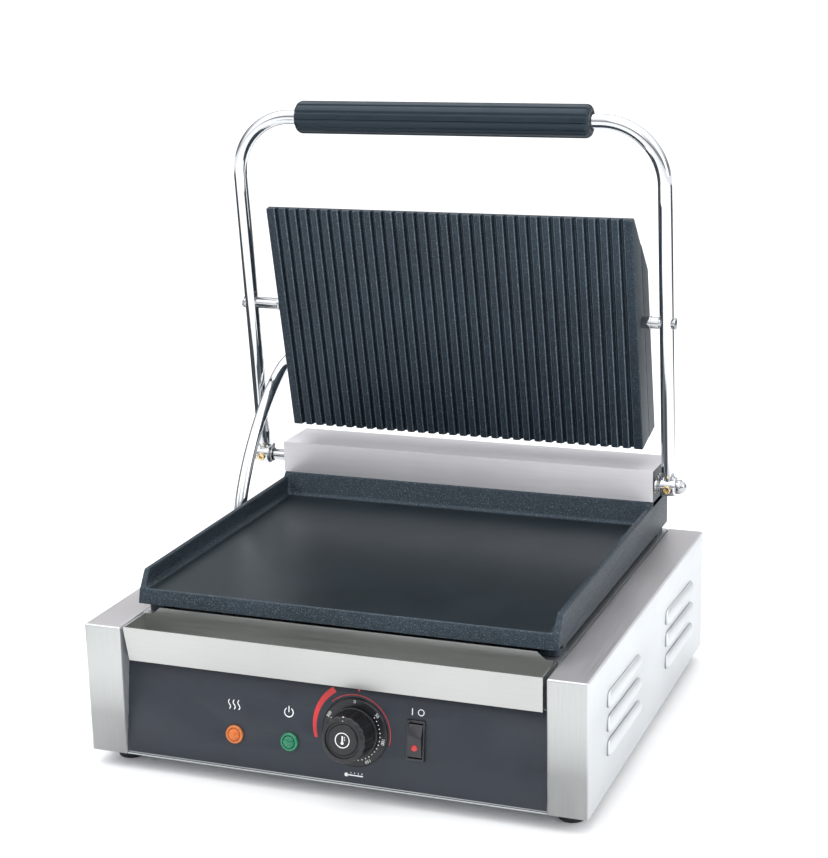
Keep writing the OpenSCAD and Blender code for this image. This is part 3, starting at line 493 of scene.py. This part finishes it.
softened("rear_cover", "body", side_steel_painted_light, 0.3 * MM)
softened("front_panel", "body", front_steel, 0.35 * MM)
softened("panel_film", "body", film, 0.12 * MM)
softened("hinge_cover", "body", cover_steel, 0.8 * MM)
softened("drip_tray", "tray", tray_steel, 0.3 * MM)
for corner in ("front_left", "front_right", "rear_left", "rear_right"):
    softened("foot_" + corner, "body", rubber, 1.0 * MM)

# ---------------------------------------------------------------- lower plate

plate_low, plate_high = corners("lower_plate")
half_plate = plate_high[0]
plate_front, plate_rear = plate_low[1], plate_high[1]
deck_z = side_high[2]
ledge_z = cover_low[2]
step_h = 20 * MM  # from the cooking floor up to the ledge under the hinge cover
floor_z = ledge_z - step_h
rim_h, rim_t = 13.5 * MM, 5.5 * MM
floor_t, ledge_t, lip_d = 9 * MM, 8 * MM, 4 * MM
MERGE_GAP = 0.02 * MM  # grid lines closer than this become one
lip_z, skirt_z = deck_z + 10 * MM, deck_z + 6.5 * MM
cove_y = cover_low[1] - 4 * MM


def open_line(points, radii, steps=5, hold=HOLD):
    """A polyline with its inner corners rounded: the closed outline's corners without its first and last"""
    rounded = fillet(points, radii, steps, hold).reshape(len(points), -1, 2)
    return np.vstack([points[0], rounded[1:-1].reshape(-1, 2), points[-1]])


def griddle():
    """The griddle casting over a grid. The floor's line and the rim's line are heights along Y. Across X the
    height runs from the floor's line to the rim's by a share that follows the rim's rounded section, and both
    faces close in on each other by a quarter circle at the outer edges."""
    floor_line = open_line([[plate_front, lip_z], [plate_front + lip_d, floor_z], [cove_y - 3.5 * MM, floor_z],
                            [cove_y + 3.2 * MM, ledge_z], [plate_rear, ledge_z]],
                           [0, 1.6 * MM, 5 * MM, 1.6 * MM, 0])
    rim_line = open_line([[plate_front, lip_z], [plate_front + lip_d, floor_z],
                          [plate_front + 13 * MM, floor_z + rim_h],
                          [cover_low[1] - 3 * MM, floor_z + rim_h + 2.5 * MM], [cover_low[1] + 1 * MM, ledge_z],
                          [plate_rear, ledge_z]], [0, 3 * MM, 2.5 * MM, 2 * MM, 1 * MM, 0])
    section = open_line([[0, 0], [half_plate - rim_t, 0], [half_plate - rim_t + 0.9 * MM, rim_h], [half_plate, rim_h]],
                        [0, 4.5 * MM, 1.3 * MM, 0], 7)
    under_line = np.array([[plate_front, lip_z], [plate_front + 6 * MM, lip_z + 0.2 * MM],
                           [plate_front + 8 * MM, floor_z - floor_t], [cove_y, floor_z - floor_t],
                           [cove_y + 9 * MM, ledge_z - ledge_t], [plate_rear - ledge_t, ledge_z - ledge_t],
                           [plate_rear - 7.6 * MM, skirt_z], [plate_rear, skirt_z]])
    skirt_line = np.array([[plate_front, lip_z], [plate_front + 12 * MM, lip_z], [plate_front + 14 * MM, skirt_z],
                           [plate_rear, skirt_z]])
    y = np.unique(np.concatenate([floor_line[:, 0], rim_line[:, 0], under_line[:, 0], skirt_line[:, 0],
                                  np.linspace(plate_front, plate_rear, 24)]))
    y = y[np.concatenate([[True], np.diff(y) > MERGE_GAP])]
    edge = 1.6 * MM
    half_x = np.unique(np.concatenate([section[:, 0], half_plate - edge * (1 - np.cos(np.linspace(0, math.pi / 2, 6))),
                                       [half_plate - rim_t - 0.4 * MM, half_plate - edge - HOLD],
                                       np.linspace(0, half_plate - 12 * MM, 8)]))
    half_x = half_x[np.concatenate([[True], np.diff(half_x) > MERGE_GAP])]
    x = np.concatenate([-half_x[:0:-1], half_x])
    share = np.interp(np.abs(x), *section.T)[:, None] / rim_h
    top = np.interp(y, *floor_line.T) * (1 - share) + np.interp(y, *rim_line.T) * share
    at_rim = (np.abs(x) > half_plate - rim_t - 0.2 * MM)[:, None]
    under = np.where(at_rim, np.interp(y, *skirt_line.T), np.interp(y, *under_line.T))
    near = np.clip(edge - (half_plate - np.abs(x)), 0, edge)[:, None]
    cut = edge - np.sqrt(edge ** 2 - near ** 2)
    level = np.minimum(np.maximum(y, plate_front + cut), plate_rear - cut)
    top, under = np.maximum(top - cut, under + 0.1 * MM), under + cut
    under = np.minimum(under, top - 0.05 * MM)
    wide = np.broadcast_to(x[:, None], top.shape)
    upper = np.stack([wide, level, top], -1)
    lower = np.stack([wide, level, under], -1)[:, ::-1]
    return loft(np.concatenate([upper, lower], 1))


def rounded_block(low, high, radius, edge):
    """A block standing on Z with rounded corners and edges"""
    outline = fillet([[low[0], low[1]], [high[0], low[1]], [high[0], high[1]], [low[0], high[1]]], radius, 3)
    return prism(outline, low[2], high[2], edge)


def griddle_zone(middles):
    """0 on the machined cooking floor, 1 on everything left as cast"""
    across, back, up = middles.T
    floor = (np.abs(across) < half_plate - rim_t - 2.5 * MM) & (back > plate_front + 5.4 * MM) \
        & (back < cove_y - 4.6 * MM) & (np.abs(up - floor_z) < 0.6 * MM)
    return np.where(floor, 0, 1)


def on_side(side, inner, outer, y0, y1, z0, z1, radius, edge):
    """A rounded block between two distances from the middle, on the left (-1) or right (1) side"""
    x0, x1 = sorted([side * inner, side * outer])
    return rounded_block([x0, y0, z0], [x1, y1, z1], radius, edge)


ears = [on_side(side, cover_high[0] - 8 * MM, cover_high[0] - 0.1 * MM, cover_low[1] + 1.4 * MM,
                cover_high[1] - 1.4 * MM, ledge_z - 6 * MM, cover_high[2] - 1.5 * MM, 0.8 * MM, 0.5 * MM)
        for side in (-1, 1)]
stool_places = ((plate_front + 12 * MM, plate_front + 35 * MM, floor_z - 3 * MM),
                (plate_rear - 28 * MM, plate_rear - 4 * MM, ledge_z - 4 * MM))
stools = [on_side(side, half_plate - 20 * MM, half_plate - 3 * MM, y0, y1, deck_z, top, 3 * MM, 0.8 * MM)
          for side in (-1, 1) for y0, y1, top in stool_places]
piece("lower_plate_cast", joined(griddle(), *ears, *stools), "body", [floor_iron, rough_iron],
      ["lower_plate"], griddle_zone)

# ---------------------------------------------------------------- hinge and handle

grip_low, grip_high = corners("grip")
tube_low, tube_high = corners("handle_tube")
handle_x = (tube_low[0] + tube_high[0]) / 2
tube_r, bend_r, eye_r, eye_half = 6 * MM, 52 * MM, 8.5 * MM, 7 * MM
leg_x = (tube_high[0] - tube_low[0]) / 2 - eye_half
handle_lean = math.atan2(hinge[1] - tilt_pin[1], tilt_pin[2] - hinge[2])
grip_centre = (grip_low + grip_high) / 2
handle_l = math.hypot(grip_centre[1] - hinge[1], grip_centre[2] - hinge[2])


def tilted(shape, pivot, lean):
    """Points of an upright frame leaned forwards about an axis along X through the pivot"""
    points, faces = shape
    y, z = points[:, 1], points[:, 2]
    c, s = math.cos(lean), math.sin(lean)
    return np.stack([points[:, 0], y * c - z * s, y * s + z * c], -1) + np.array(pivot), faces


handle_pivot = [handle_x, hinge[1], hinge[2]]
turn = np.linspace(0, math.pi / 2, 21)
bend = np.stack([leg_x - bend_r + bend_r * np.cos(turn), np.zeros(21), handle_l - bend_r + bend_r * np.sin(turn)], -1)
legs = np.linspace(0.0, handle_l - bend_r - 1 * MM, 12)
right_leg = np.stack([np.full(len(legs), leg_x), np.zeros(len(legs)), legs], -1)
bow = np.vstack([right_leg, bend])
bow = np.vstack([bow, (bow * [-1, 1, 1])[::-1]])
eyes = [rod([t * leg_x - eye_half, 0, 0], [t * leg_x + eye_half, 0, 0], eye_r, 1.6 * MM) for t in (-1, 1)]
piece("handle_bow", tilted(joined(tube(bow, tube_r, [0, 1, 0], 40), *eyes), handle_pivot, handle_lean),
      "handle", [chrome], ["handle_tube"])


def grip_shape():
    """The grip: circles along X with twelve round-bottomed flutes, 1.1 mm deep, drawn in at both ends"""
    half, radius, flutes = (grip_high[0] - grip_low[0]) / 2, 14 * MM, 12
    angle = np.linspace(0, math.pi / 2, 7)
    radii = np.concatenate([[tube_r - 0.4 * MM, tube_r + 2 * MM], radius - 4.0 * MM * (1 - np.sin(angle)), [radius]])
    places = np.concatenate([[1.5 * MM, 0.15 * MM], 4.5 * MM * (1 - np.cos(angle)), [5.2 * MM]])
    turn = np.linspace(0, 2 * math.pi, flutes * 18, endpoint=False)
    phase = (turn * flutes / (2 * math.pi) + 0.5) % 1 - 0.5
    groove = 1.1 * MM * np.exp(-(phase / 0.13) ** 4)
    radii = np.concatenate([radii, radii[::-1]])
    along = np.concatenate([places - half, half - places[::-1]])
    depth = groove * np.clip((radii[:, None] - tube_r) / (radius - tube_r), 0, 1) ** 2
    ring = (radii[:, None] - depth)[..., None] * np.stack([0 * turn, np.cos(turn), np.sin(turn)], -1)
    ring[..., 0] += along[:, None]
    return loft(ring + np.array([0, 0, handle_l]))


piece("grip_fluted", tilted(grip_shape(), [grip_centre[0], hinge[1], hinge[2]], handle_lean), "handle",
      [grip_plastic], ["grip"])

for node, body, slot, look, edge in (
        ("hinge_shaft", "handle", "chrome", pin_chrome, 0.4), ("shaft_nuts", "handle", "chrome", pin_chrome, 0.5),
        ("shaft_clips", "handle", "chrome", pin_chrome, 0.1), ("set_screws", "handle", "brass", brass, 0.3),
        ("bush_left", "body", "brass", bronze, 0.2), ("bush_right", "body", "brass", bronze, 0.2),
        ("hinge_cover_screws", "body", "zinc_steel", zinc, 0.3), ("tilt_pin_left", "upper", "chrome", pin_chrome, 0.4),
        ("tilt_pin_right", "upper", "chrome", pin_chrome, 0.4),
        ("upper_cover_screws", "upper", "zinc_steel", zinc, 0.2),
        ("conduit_gland_lower", "body", "chrome", pin_chrome, 0.4),
        ("conduit_gland_upper", "upper", "chrome", pin_chrome, 0.4),
        ("inlet_gland", "body", "black_plastic", gland_plastic, 0.5),
        ("switch_frame", "body", "black_plastic", switch_plastic, 0.4),
        ("switch_rocker", "rocker", "black_plastic", switch_plastic, 0.5)):
    softened(node, body, look, edge * MM, 2)

# ---------------------------------------------------------------- upper plate

upper_lean = math.radians(90 - closing - tilting)
half_upper = 163.8 * MM
tip_y, seam_y, front_z, tail_z = -16 * MM, 8 * MM, 96 * MM, -112 * MM
kink = tip_y + 6 * MM
slope_z = front_z - (seam_y - kink) * 59 / 36.5  # the front slopes back 59 for every 36.5 of thickness
RIBS = 33
RIB_PITCH = 2 * half_upper / RIBS
GROOVE_D = 3.6 * MM


def ribbed_plate():
    """The ribbed casting, lofted across X from loops through its thickness. The loops' front face follows the
    ribs: flat tops with rounded shoulders, sloped flanks and rounded roots, with a flat land at each side. At
    the two sides every loop shrinks by a quarter circle."""
    middle = -half_upper + (np.arange(RIBS) + 0.5) * RIB_PITCH
    shape = np.array([[-0.43, GROOVE_D], [-0.28, 0], [0.28, 0], [0.43, GROOVE_D]])
    line = np.stack([middle[:, None] + shape[:, 0] * RIB_PITCH,
                     np.broadcast_to(tip_y + shape[:, 1], (RIBS, len(shape)))], -1).reshape(-1, 2)
    line = np.vstack([[-half_upper - RIB_PITCH, tip_y], line[2:-2], [half_upper + RIB_PITCH, tip_y]])
    radii = np.tile([0.7, 1.5, 1.5, 0.7], RIBS)[2:-2] * MM
    line = open_line(line, np.concatenate([[0], radii, [0]]), 4)[1:-1]
    edge, arc_points = 1.0 * MM, 4
    angle = np.linspace(0, math.pi / 2, arc_points)
    ends, rounding = edge * (1 - np.cos(angle)), edge * (1 - np.sin(angle))
    line = line[np.abs(line[:, 0]) < half_upper - edge - 0.1 * MM]
    x = np.concatenate([-half_upper + ends, line[:, 0], (half_upper - ends)[::-1]])
    flat = np.full(arc_points, tip_y)
    face = np.concatenate([flat, line[:, 1], flat])
    cut = np.concatenate([rounding, np.zeros(len(line)), rounding[::-1]])
    loops = np.stack([
        np.stack([face + cut, tail_z + cut], -1),
        np.stack([seam_y - cut, tail_z + 1 * MM + cut], -1),
        np.stack([seam_y - cut, slope_z - cut], -1),
        np.stack([np.full(len(x), kink), front_z - cut], -1),
        np.stack([face + cut, front_z - cut], -1)], 1)
    loops = fillet(loops, [0.9 * MM, 0.5 * MM, 0.5 * MM, 1.0 * MM, 0.7 * MM], 3)
    return loft(np.concatenate([np.broadcast_to(x[:, None, None], (*loops.shape[:2], 1)), loops], -1))


def ribbed_zone(middles):
    """0 on the ribs, 1 on the sides, 2 on the ribs' rounded shoulders, which get a lighter, glossier iron: partly
    enamel worn thin, partly a painted highlight along each rib's edge. The height over the ribs' tips is worked out
    in the leaning plate's own frame, and the phase is the distance from the nearest rib's middle as a share of the
    pitch."""
    out = middles[:, 1:] - tilt_pin[1:]
    height = out[:, 0] * math.cos(upper_lean) + out[:, 1] * math.sin(upper_lean) - tip_y
    phase = np.abs(((middles[:, 0] + half_upper) / RIB_PITCH) % 1 - 0.5)
    shoulder = (phase > 0.225) & (phase < 0.30) & (height > 0.02 * MM) & (height < 1.0 * MM)
    return np.where(np.abs(middles[:, 0]) > half_upper - 1.2 * MM, 1, np.where(shoulder, 2, 0))


piece("upper_plate_cast", tilted(ribbed_plate(), [0, *tilt_pin[1:]], upper_lean), "upper",
      [rib_iron, rough_iron, worn_and_highlight_iron], ["upper_plate"], ribbed_zone)
softened("upper_cover", "upper", rough_iron, 1.2 * MM)

# ---------------------------------------------------------------- conduit

foot_low, foot_high = corners("conduit_gland_lower")
CURVE_STEPS = 36
LOWER_PIPE_R, UPPER_PIPE_R = 5.45 * MM, 5.4 * MM


def cubic(a, b, c, d):
    """A cubic curve: the four points' weights are the cubes and products of t and 1 - t"""
    t = np.linspace(0, 1, CURVE_STEPS + 1)[:, None]
    return (1 - t) ** 3 * a + 3 * (1 - t) ** 2 * t * b + 3 * (1 - t) * t * t * c + t ** 3 * d


def conduit_line():
    """Two cubic curves that meet beside the upper plate, with a short straight run at each gland"""
    mouth = np.array([-122.0, 38.7, -60.0]) * MM
    head = tilted((mouth[None], []), [0, *tilt_pin[1:]], upper_lean)[0][0]
    outwards = np.array([0, math.cos(upper_lean), math.sin(upper_lean)]) * MM
    foot = np.array([(foot_low[0] + foot_high[0]) / 2, (foot_low[1] + foot_high[1]) / 2, foot_high[2]])
    start, end = foot + np.array([0, 0, 2 * MM]), head + 2 * outwards
    beside = np.array([foot[0] + 2 * MM, tilt_pin[1] + 34 * MM, tilt_pin[2] - 62 * MM])
    heading = np.array([0, 0.97, 0.25]) * MM
    rising = cubic(start, start + np.array([0, 4, 40]) * MM, beside - 45 * heading, beside)
    looping = cubic(beside, beside + 40 * heading, end + 40 * outwards, end)
    return np.vstack([foot, rising, looping[1:], head])


route = conduit_line()
crossing = CURVE_STEPS + 8
lower_tube = tube(route[:crossing + 1], LOWER_PIPE_R, [0, 1, 0.2], 28)
upper_tube = tube(route[crossing - 1:], UPPER_PIPE_R, [1, 0, 0.1], 28)
lower_pipe = piece("conduit_lower", lower_tube, None, [chrome])
upper_pipe = piece("conduit_upper", upper_tube, None, [chrome])
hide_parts("conduit")
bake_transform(lower_pipe)
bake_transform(upper_pipe)

# ---------------------------------------------------------------- controls

panel_up = np.cross(panel_out, [1.0, 0.0, 0.0])
panel_frame = np.array([[1.0, 0.0, 0.0], panel_up, panel_out])


def at_panel(shape, x=0.0, up=0.0):
    """Points given as (across, up the slope, outwards) from a place on the panel's face, in millimetres"""
    points, faces = shape
    return dial_centre + (np.array(points) + [x, up, 0]) @ panel_frame * MM, faces


def ring_profile(pairs, radii, steps=4):
    """A turned part's profile of (radius, height) with its corners rounded"""
    return open_line(np.array(pairs, float), radii, steps, PANEL_HOLD)


def turned(profile, sides):
    """A profile of (radius, height) turned about the panel's outward direction"""
    return revolve(profile, [0, 0, 0], [0, 0, 1], sides)


def across_panel(node):
    """How far right of the dial's centre a CAD node's middle lies, in millimetres"""
    return (sum(corners(node)) / 2 - dial_centre)[0] / MM


def knob_shape():
    """The knob: a profile of radius and height whose radius is drawn in by 18 shallow scallops round its grip"""
    base = turned(ring_profile([[3.05, 2.4], [20, 2.4], [20, 5.2], [18.4, 5.4], [3.05, 5.45]],
                               [0, .4, .8, .3, 0]), 96)
    profile = ring_profile([[3.05, 5.3], [18.95, 5.3], [18.2, 24.0], [14.3, 25.35], [14.0, 23.4], [3.05, 23.4]],
                           [0, .2, 1.6, .5, .3, 0], 5)
    turn = np.linspace(0, 2 * math.pi, 216, endpoint=False)
    radius, height = np.hsplit(profile, 2)
    scallop = 0.75 * np.abs(np.sin(9 * turn)) ** 0.8 - 0.75
    weight = np.clip((radius - 14.6) / 3.4, 0, 1) ** 0.5
    around = radius + scallop * weight
    points = np.stack([around * np.cos(turn), around * np.sin(turn), np.broadcast_to(height, around.shape)], -1)
    return joined(base, loft(points))


DIAL_TOP, CAP_TOP = 2.0, 24.9
knob = knob_shape()
cap = turned(ring_profile([[0.0, 22.2], [12, 22.2], [12, 24.0], [11.2, 24.8], [0.0, CAP_TOP]],
                          [0, .1, .5, .4, 0]), 64)
dial = turned(ring_profile([[6.2, 0], [27, 0], [26.6, 0.9], [25.4, DIAL_TOP], [6.2, DIAL_TOP]],
                           [0, .2, .4, .4, 0]), 128)
bezel = turned(ring_profile([[5.0, 0], [7.5, 0], [7.3, 1.3], [6.6, 2.0], [5.4, 2.0], [5.0, 0.8]],
                            [0, .2, .5, .3, .2, 0]), 48)
dome = turned([[5.05, -1.0], [5.05, 1.4], [4.9, 2.0], [4.3, 2.8], [3.3, 3.4], [1.9, 3.8], [0.6, 3.95], [0, 3.98]], 48)
button = turned([[2.5, 1.6], [2.5, 3.6], [2.3, 4.0], [1.6, 4.15], [0, 4.2]], 32)

piece("knob_scalloped", at_panel(knob), "knob", [knob_plastic], ["knob"])
piece("knob_disc", at_panel(cap), "knob", [dial_plastic], ["knob_cap"])
piece("dial_disc", at_panel(dial), "body", [dial_plastic], ["dial_plate"])
lamp_up, switch_up = -14.5, -5.2
for lamp, look, glass, colour in (("heat_lamp", amber_bezel, amber_lens, "orange_lens"),
                                  ("power_lamp", green_bezel, green_lens, "green_lens")):
    away = across_panel(lamp + "_bezel")
    piece(lamp + "_ring", at_panel(bezel, away, lamp_up), "body", [look], [lamp + "_bezel"])
    piece(lamp + "_dome", at_panel(dome, away, lamp_up), "body", [glass], [lamp + "_lens"])
switch_away = across_panel("switch_lens")
piece("switch_dome", at_panel(button, switch_away, switch_up), "rocker", [red_lens], ["switch_lens"])

# Print on the panel film, the dial and the knob
INK = 0.05  # millimetres the print stands off its face


def arc(radius, start, end, count=40, centre=(0, 0)):
    """Points on a circle, with angles in degrees clockwise from the top"""
    angle = np.radians(np.linspace(start, end, count))
    return np.stack([centre[0] + np.broadcast_to(radius, count) * np.sin(angle),
                     centre[1] + np.broadcast_to(radius, count) * np.cos(angle)], -1)


def line(*points):
    """A straight or bent line through points, divided finely enough for a strip"""
    points = np.array(points, float)
    return np.vstack([points[:-1].repeat(3, 0), points[-1:]]) + np.vstack(
        [np.outer([0, 1 / 3, 2 / 3], step) for step in np.diff(points, axis=0)] + [[[0, 0]]])


def spot(x, y, radius, height, sides=20):
    """A round spot of print"""
    angle = np.linspace(0, 2 * math.pi, sides, endpoint=False)
    points = [x + radius * np.cos(angle), y + radius * np.sin(angle), np.full(sides, height)]
    return np.column_stack(points), [list(range(sides))]


def numeral(text, size, x, y, height, turn=0.0):
    """A number as a flat mesh in the panel's millimetres, centred on (x, y)"""
    curve = bpy.data.curves.new("number", "FONT")
    curve.body, curve.size, curve.align_x, curve.align_y = text, size, "CENTER", "CENTER"
    holder = bpy.data.objects.new("number", curve)
    mesh = holder.to_mesh()
    points = np.array([v.co for v in mesh.vertices])
    faces = [list(p.vertices) for p in mesh.polygons]
    holder.to_mesh_clear()
    bpy.data.objects.remove(holder)
    bpy.data.curves.remove(curve)
    c, s = math.cos(turn), math.sin(turn)
    flat = points[:, :2] @ np.array([[c, s], [-s, c]])
    return np.column_stack([flat + [x, y], np.full(len(points), height)]), faces


sweep = arc(np.linspace(35.6, 32.6, 40), -29, -104)
red_print = [flat_strip(sweep, np.linspace(4.9, 2.6, 40), INK), flat_strip(arc(28.9, -42, 104, 70), 0.55, INK),
             flat_strip(line((2.4, 31.9), (2.4, 34.8)), 1.7, INK)]
piece("panel_red_print", at_panel(joined(*red_print)), "body", [red_ink])

sign_left = 1.0  # millimetres that the signs stand left of their lamps' middles
heat_away, power_away = across_panel("heat_lamp_bezel") - sign_left, across_panel("power_lamp_bezel") - sign_left
wave = np.linspace(0, 1, 24)
waves = [flat_strip(np.stack([heat_away + shift + 0.9 * np.sin(wave * 2 * math.pi), 5.2 + 7.5 * wave], -1), 0.75, INK)
         for shift in (-4.0, 0.0, 4.0)]
plug = [flat_strip(arc(3.6, 32, 328, 40, (power_away, 8.6)), 0.8, INK),
        flat_strip(line((power_away, 8.6), (power_away, 13.6)), 0.8, INK)]
on_off = [flat_strip(arc(2.3, 0, 360, 32, (switch_away + 3.4, 21.6)), 0.7, INK),
          flat_strip(line((switch_away - 3.6, 19.0), (switch_away - 3.6, 24.2)), 0.8, INK)]
bulb_y = -33.8
thermometer = [spot(-6.2, bulb_y, 1.5, INK), flat_strip(line((-5.6, bulb_y), (7.4, bulb_y)), 0.9, INK)]
thermometer += [flat_strip(line((tick, bulb_y + 1.2), (tick, bulb_y + 2.4)), 0.5, INK)
                for tick in (-2.4, 0.6, 3.6, 6.6)]
piece("panel_white_print", at_panel(joined(*waves, *plug, *on_off, *thermometer)), "body", [white_ink])

dial_z, number_r, dot_r = DIAL_TOP + INK, 23.9, 21.2
numbers = []
for value in range(0, 301, 50):
    angle = math.radians(value)
    numbers.append(numeral(str(value), 3.5, number_r * math.sin(angle), number_r * math.cos(angle), dial_z, -angle))
dots = [spot(dot_r * math.sin(a), dot_r * math.cos(a), 0.5, dial_z, 12) for a in np.radians(np.arange(50, 301, 8.5))]
piece("dial_numbers", at_panel(joined(*numbers, *dots)), "body", [white_ink])

cap_z = CAP_TOP + INK
badge = [flat_strip(arc(5.6, 0, 360, 60), 0.75, cap_z), spot(0, -2.1, 1.25, cap_z),
         flat_strip(line((0, -2.0), (0, 3.3)), 1.2, cap_z),
         *[flat_strip(line((1.3, y), (2.3, y)), 0.45, cap_z) for y in (0.2, 1.4, 2.6)]]
pointer = flat_strip(line((0, 14.8), (0, 18.0)), 1.2, 25.45)
pointer[0][:, 2] = np.where(pointer[0][:, 1] < 15.5, 25.3, 24.25)
piece("knob_print", at_panel(joined(*badge, pointer)), "knob", [white_ink])

# ---------------------------------------------------------------- CAD parts kept as they are

kept = {
    "base_pan": zinc, "deck": zinc, "foot_screws": zinc, "lower_element": heater_sheath, "lower_clamps": zinc,
    "lower_plate_bolts": zinc, "spring_left": spring_wire, "spring_right": spring_wire, "spring_collars": zinc,
    "upper_element": heater_sheath, "upper_insulation": wool, "thermostat": zinc, "thermostat_shaft": brass,
    "terminal_block": ceramic,
}
for node, look in kept.items():
    shown = frame["nodes"][node]
    for index in range(len(shown.material_slots)):
        shown.material_slots[index].material = look

# ---------------------------------------------------------------- floor, light and camera

def on_stage(name, outlines, level, look):
    """Flat sheets at one level, given by their corners, as one object"""
    points = [(x, y, level) for outline in outlines for x, y in outline]
    starts = np.cumsum([0] + [len(outline) for outline in outlines])
    faces = [list(range(a, b)) for a, b in zip(starts[:-1], starts[1:])]
    mesh = bpy.data.meshes.new(name)
    mesh.from_pydata(points, [], faces)
    mesh.materials.append(look)
    made = bpy.data.objects.new(name, mesh)
    bpy.context.collection.objects.link(made)
    return made


floor_paper = finish("floor_paper", (0.93, 0.93, 0.93), rough=0.85)
paper_tone = noise(floor_paper, 5, (1, 1, 1), 2)
feed(floor_paper, "Base Color", ramp(floor_paper, paper_tone, [(0.3, 0.925), (0.7, 0.94)]))
REACH = 80.0
on_stage("floor", [[[-REACH, -REACH], [REACH, -REACH], [REACH, REACH], [-REACH, REACH]]], 0.0, floor_paper)

# Dark cards beside the press, seen only in its polished surfaces
CARD_REACH, CARD_Z = 3.0, 0.004
left_card = [[-CARD_REACH, -0.5], [-0.42, -0.5], [-0.42, 0.35], [-0.15, 0.75], [-0.15, CARD_REACH],
             [-CARD_REACH, CARD_REACH]]
right_card = [[0.45, 0.75], [CARD_REACH, 0.75], [CARD_REACH, CARD_REACH], [0.45, CARD_REACH]]
dark_cards = on_stage("dark_cards", [left_card, right_card], CARD_Z, moulded("dark_card", (0.02, 0.025, 0.03), 0.9))
dark_cards.visible_camera = dark_cards.visible_diffuse = dark_cards.visible_shadow = False

scene = bpy.context.scene
scene.view_settings.view_transform = "Standard"
world = bpy.data.worlds.new("studio")
scene.world = world
world.use_nodes = True
world_nodes, world_links = world.node_tree.nodes, world.node_tree.links
background = world_nodes["Background"]


def fade(value, low, high):
    """A world value that runs from 0 where the given one is low to 1 where it is high"""
    node = world_nodes.new("ShaderNodeMapRange")
    node.inputs["From Min"].default_value, node.inputs["From Max"].default_value = low, high
    world_links.new(value, node.inputs["Value"])
    return node.outputs["Result"]


direction = world_nodes.new("ShaderNodeTexCoord").outputs["Generated"]
split = world_nodes.new("ShaderNodeSeparateXYZ")
world_links.new(direction, split.inputs[0])
upwards = split.outputs["Z"]
tent = world_nodes.new("ShaderNodeValToRGB")
for place, grey in ((0.0, 0.55), (0.2, 0.30), (0.34, 0.16), (0.5, 0.55), (0.75, 1.0)):
    element = tent.color_ramp.elements.new(place)
    element.color = (grey, grey * 1.01, grey * 1.03, 1)
tent.color_ramp.elements.remove(tent.color_ramp.elements[-1])
world_links.new(fade(upwards, -0.25, 1.0), tent.inputs["Fac"])
# A dark standing card at the left rear, from the floor up to a soft upper edge
facing = world_nodes.new("ShaderNodeVectorMath")
facing.operation = "DOT_PRODUCT"
facing.inputs[1].default_value = (-0.62, 0.78, 0.0)
world_links.new(direction, facing.inputs[0])
shade = world_nodes.new("ShaderNodeMath")
shade.operation = "MULTIPLY"
world_links.new(fade(facing.outputs["Value"], 0.70, 0.88), shade.inputs[0])
world_links.new(fade(upwards, 0.45, 0.30), shade.inputs[1])
carded = mixed(world, shade.outputs[0], tent.outputs["Color"], (0.03, 0.035, 0.04))
seen = world_nodes.new("ShaderNodeLightPath").outputs["Is Camera Ray"]
world_links.new(mixed(world, seen, carded, (1.0, 1.0, 1.0)), background.inputs["Color"])
background.inputs["Strength"].default_value = 1.6


def soft_box(name, place, aim, size, power):
    """A large rectangular light that faces a point"""
    light = bpy.data.lights.new(name, "AREA")
    light.shape, light.size, light.size_y, light.energy = "RECTANGLE", size[0], size[1], power
    holder = bpy.data.objects.new(name, light)
    bpy.context.collection.objects.link(holder)
    holder.location = place
    holder.rotation_euler = (Vector(aim) - Vector(place)).to_track_quat("-Z", "Y").to_euler()


soft_box("overhead", (-0.3, -0.1, 2.2), (0, 0, 0.1), (2.2, 1.8), 14)
soft_box("left_window", (-1.9, -1.2, 1.3), (0, 0, 0.2), (1.4, 1.6), 9)
soft_box("right_window", (2.1, -0.3, 1.1), (0, 0, 0.1), (1.2, 1.6), 11)
soft_box("front_fill", (0.4, -2.6, 1.7), (0, 0, 0.2), (1.6, 1.0), 4)

CAMERA_AT = (0.55005, -1.41367, 0.64003)
yaw, pitch, roll = math.radians(21.11), math.radians(-14.60), math.radians(-1.27)
forward = Vector((-math.sin(yaw) * math.cos(pitch), math.cos(yaw) * math.cos(pitch), math.sin(pitch)))
right = Vector((math.cos(yaw), math.sin(yaw), 0))
above = right.cross(forward)
turned_right = right * math.cos(roll) + above * math.sin(roll)
turned_up = above * math.cos(roll) - right * math.sin(roll)
lens_data = bpy.data.cameras.new("camera")
lens_data.sensor_fit, lens_data.sensor_width, lens_data.lens = "HORIZONTAL", 36.0, 83.08
camera = bpy.data.objects.new("camera", lens_data)
bpy.context.collection.objects.link(camera)
camera.matrix_world = Matrix([*zip(turned_right, turned_up, -forward, CAMERA_AT), (0, 0, 0, 1)])
scene.camera = camera
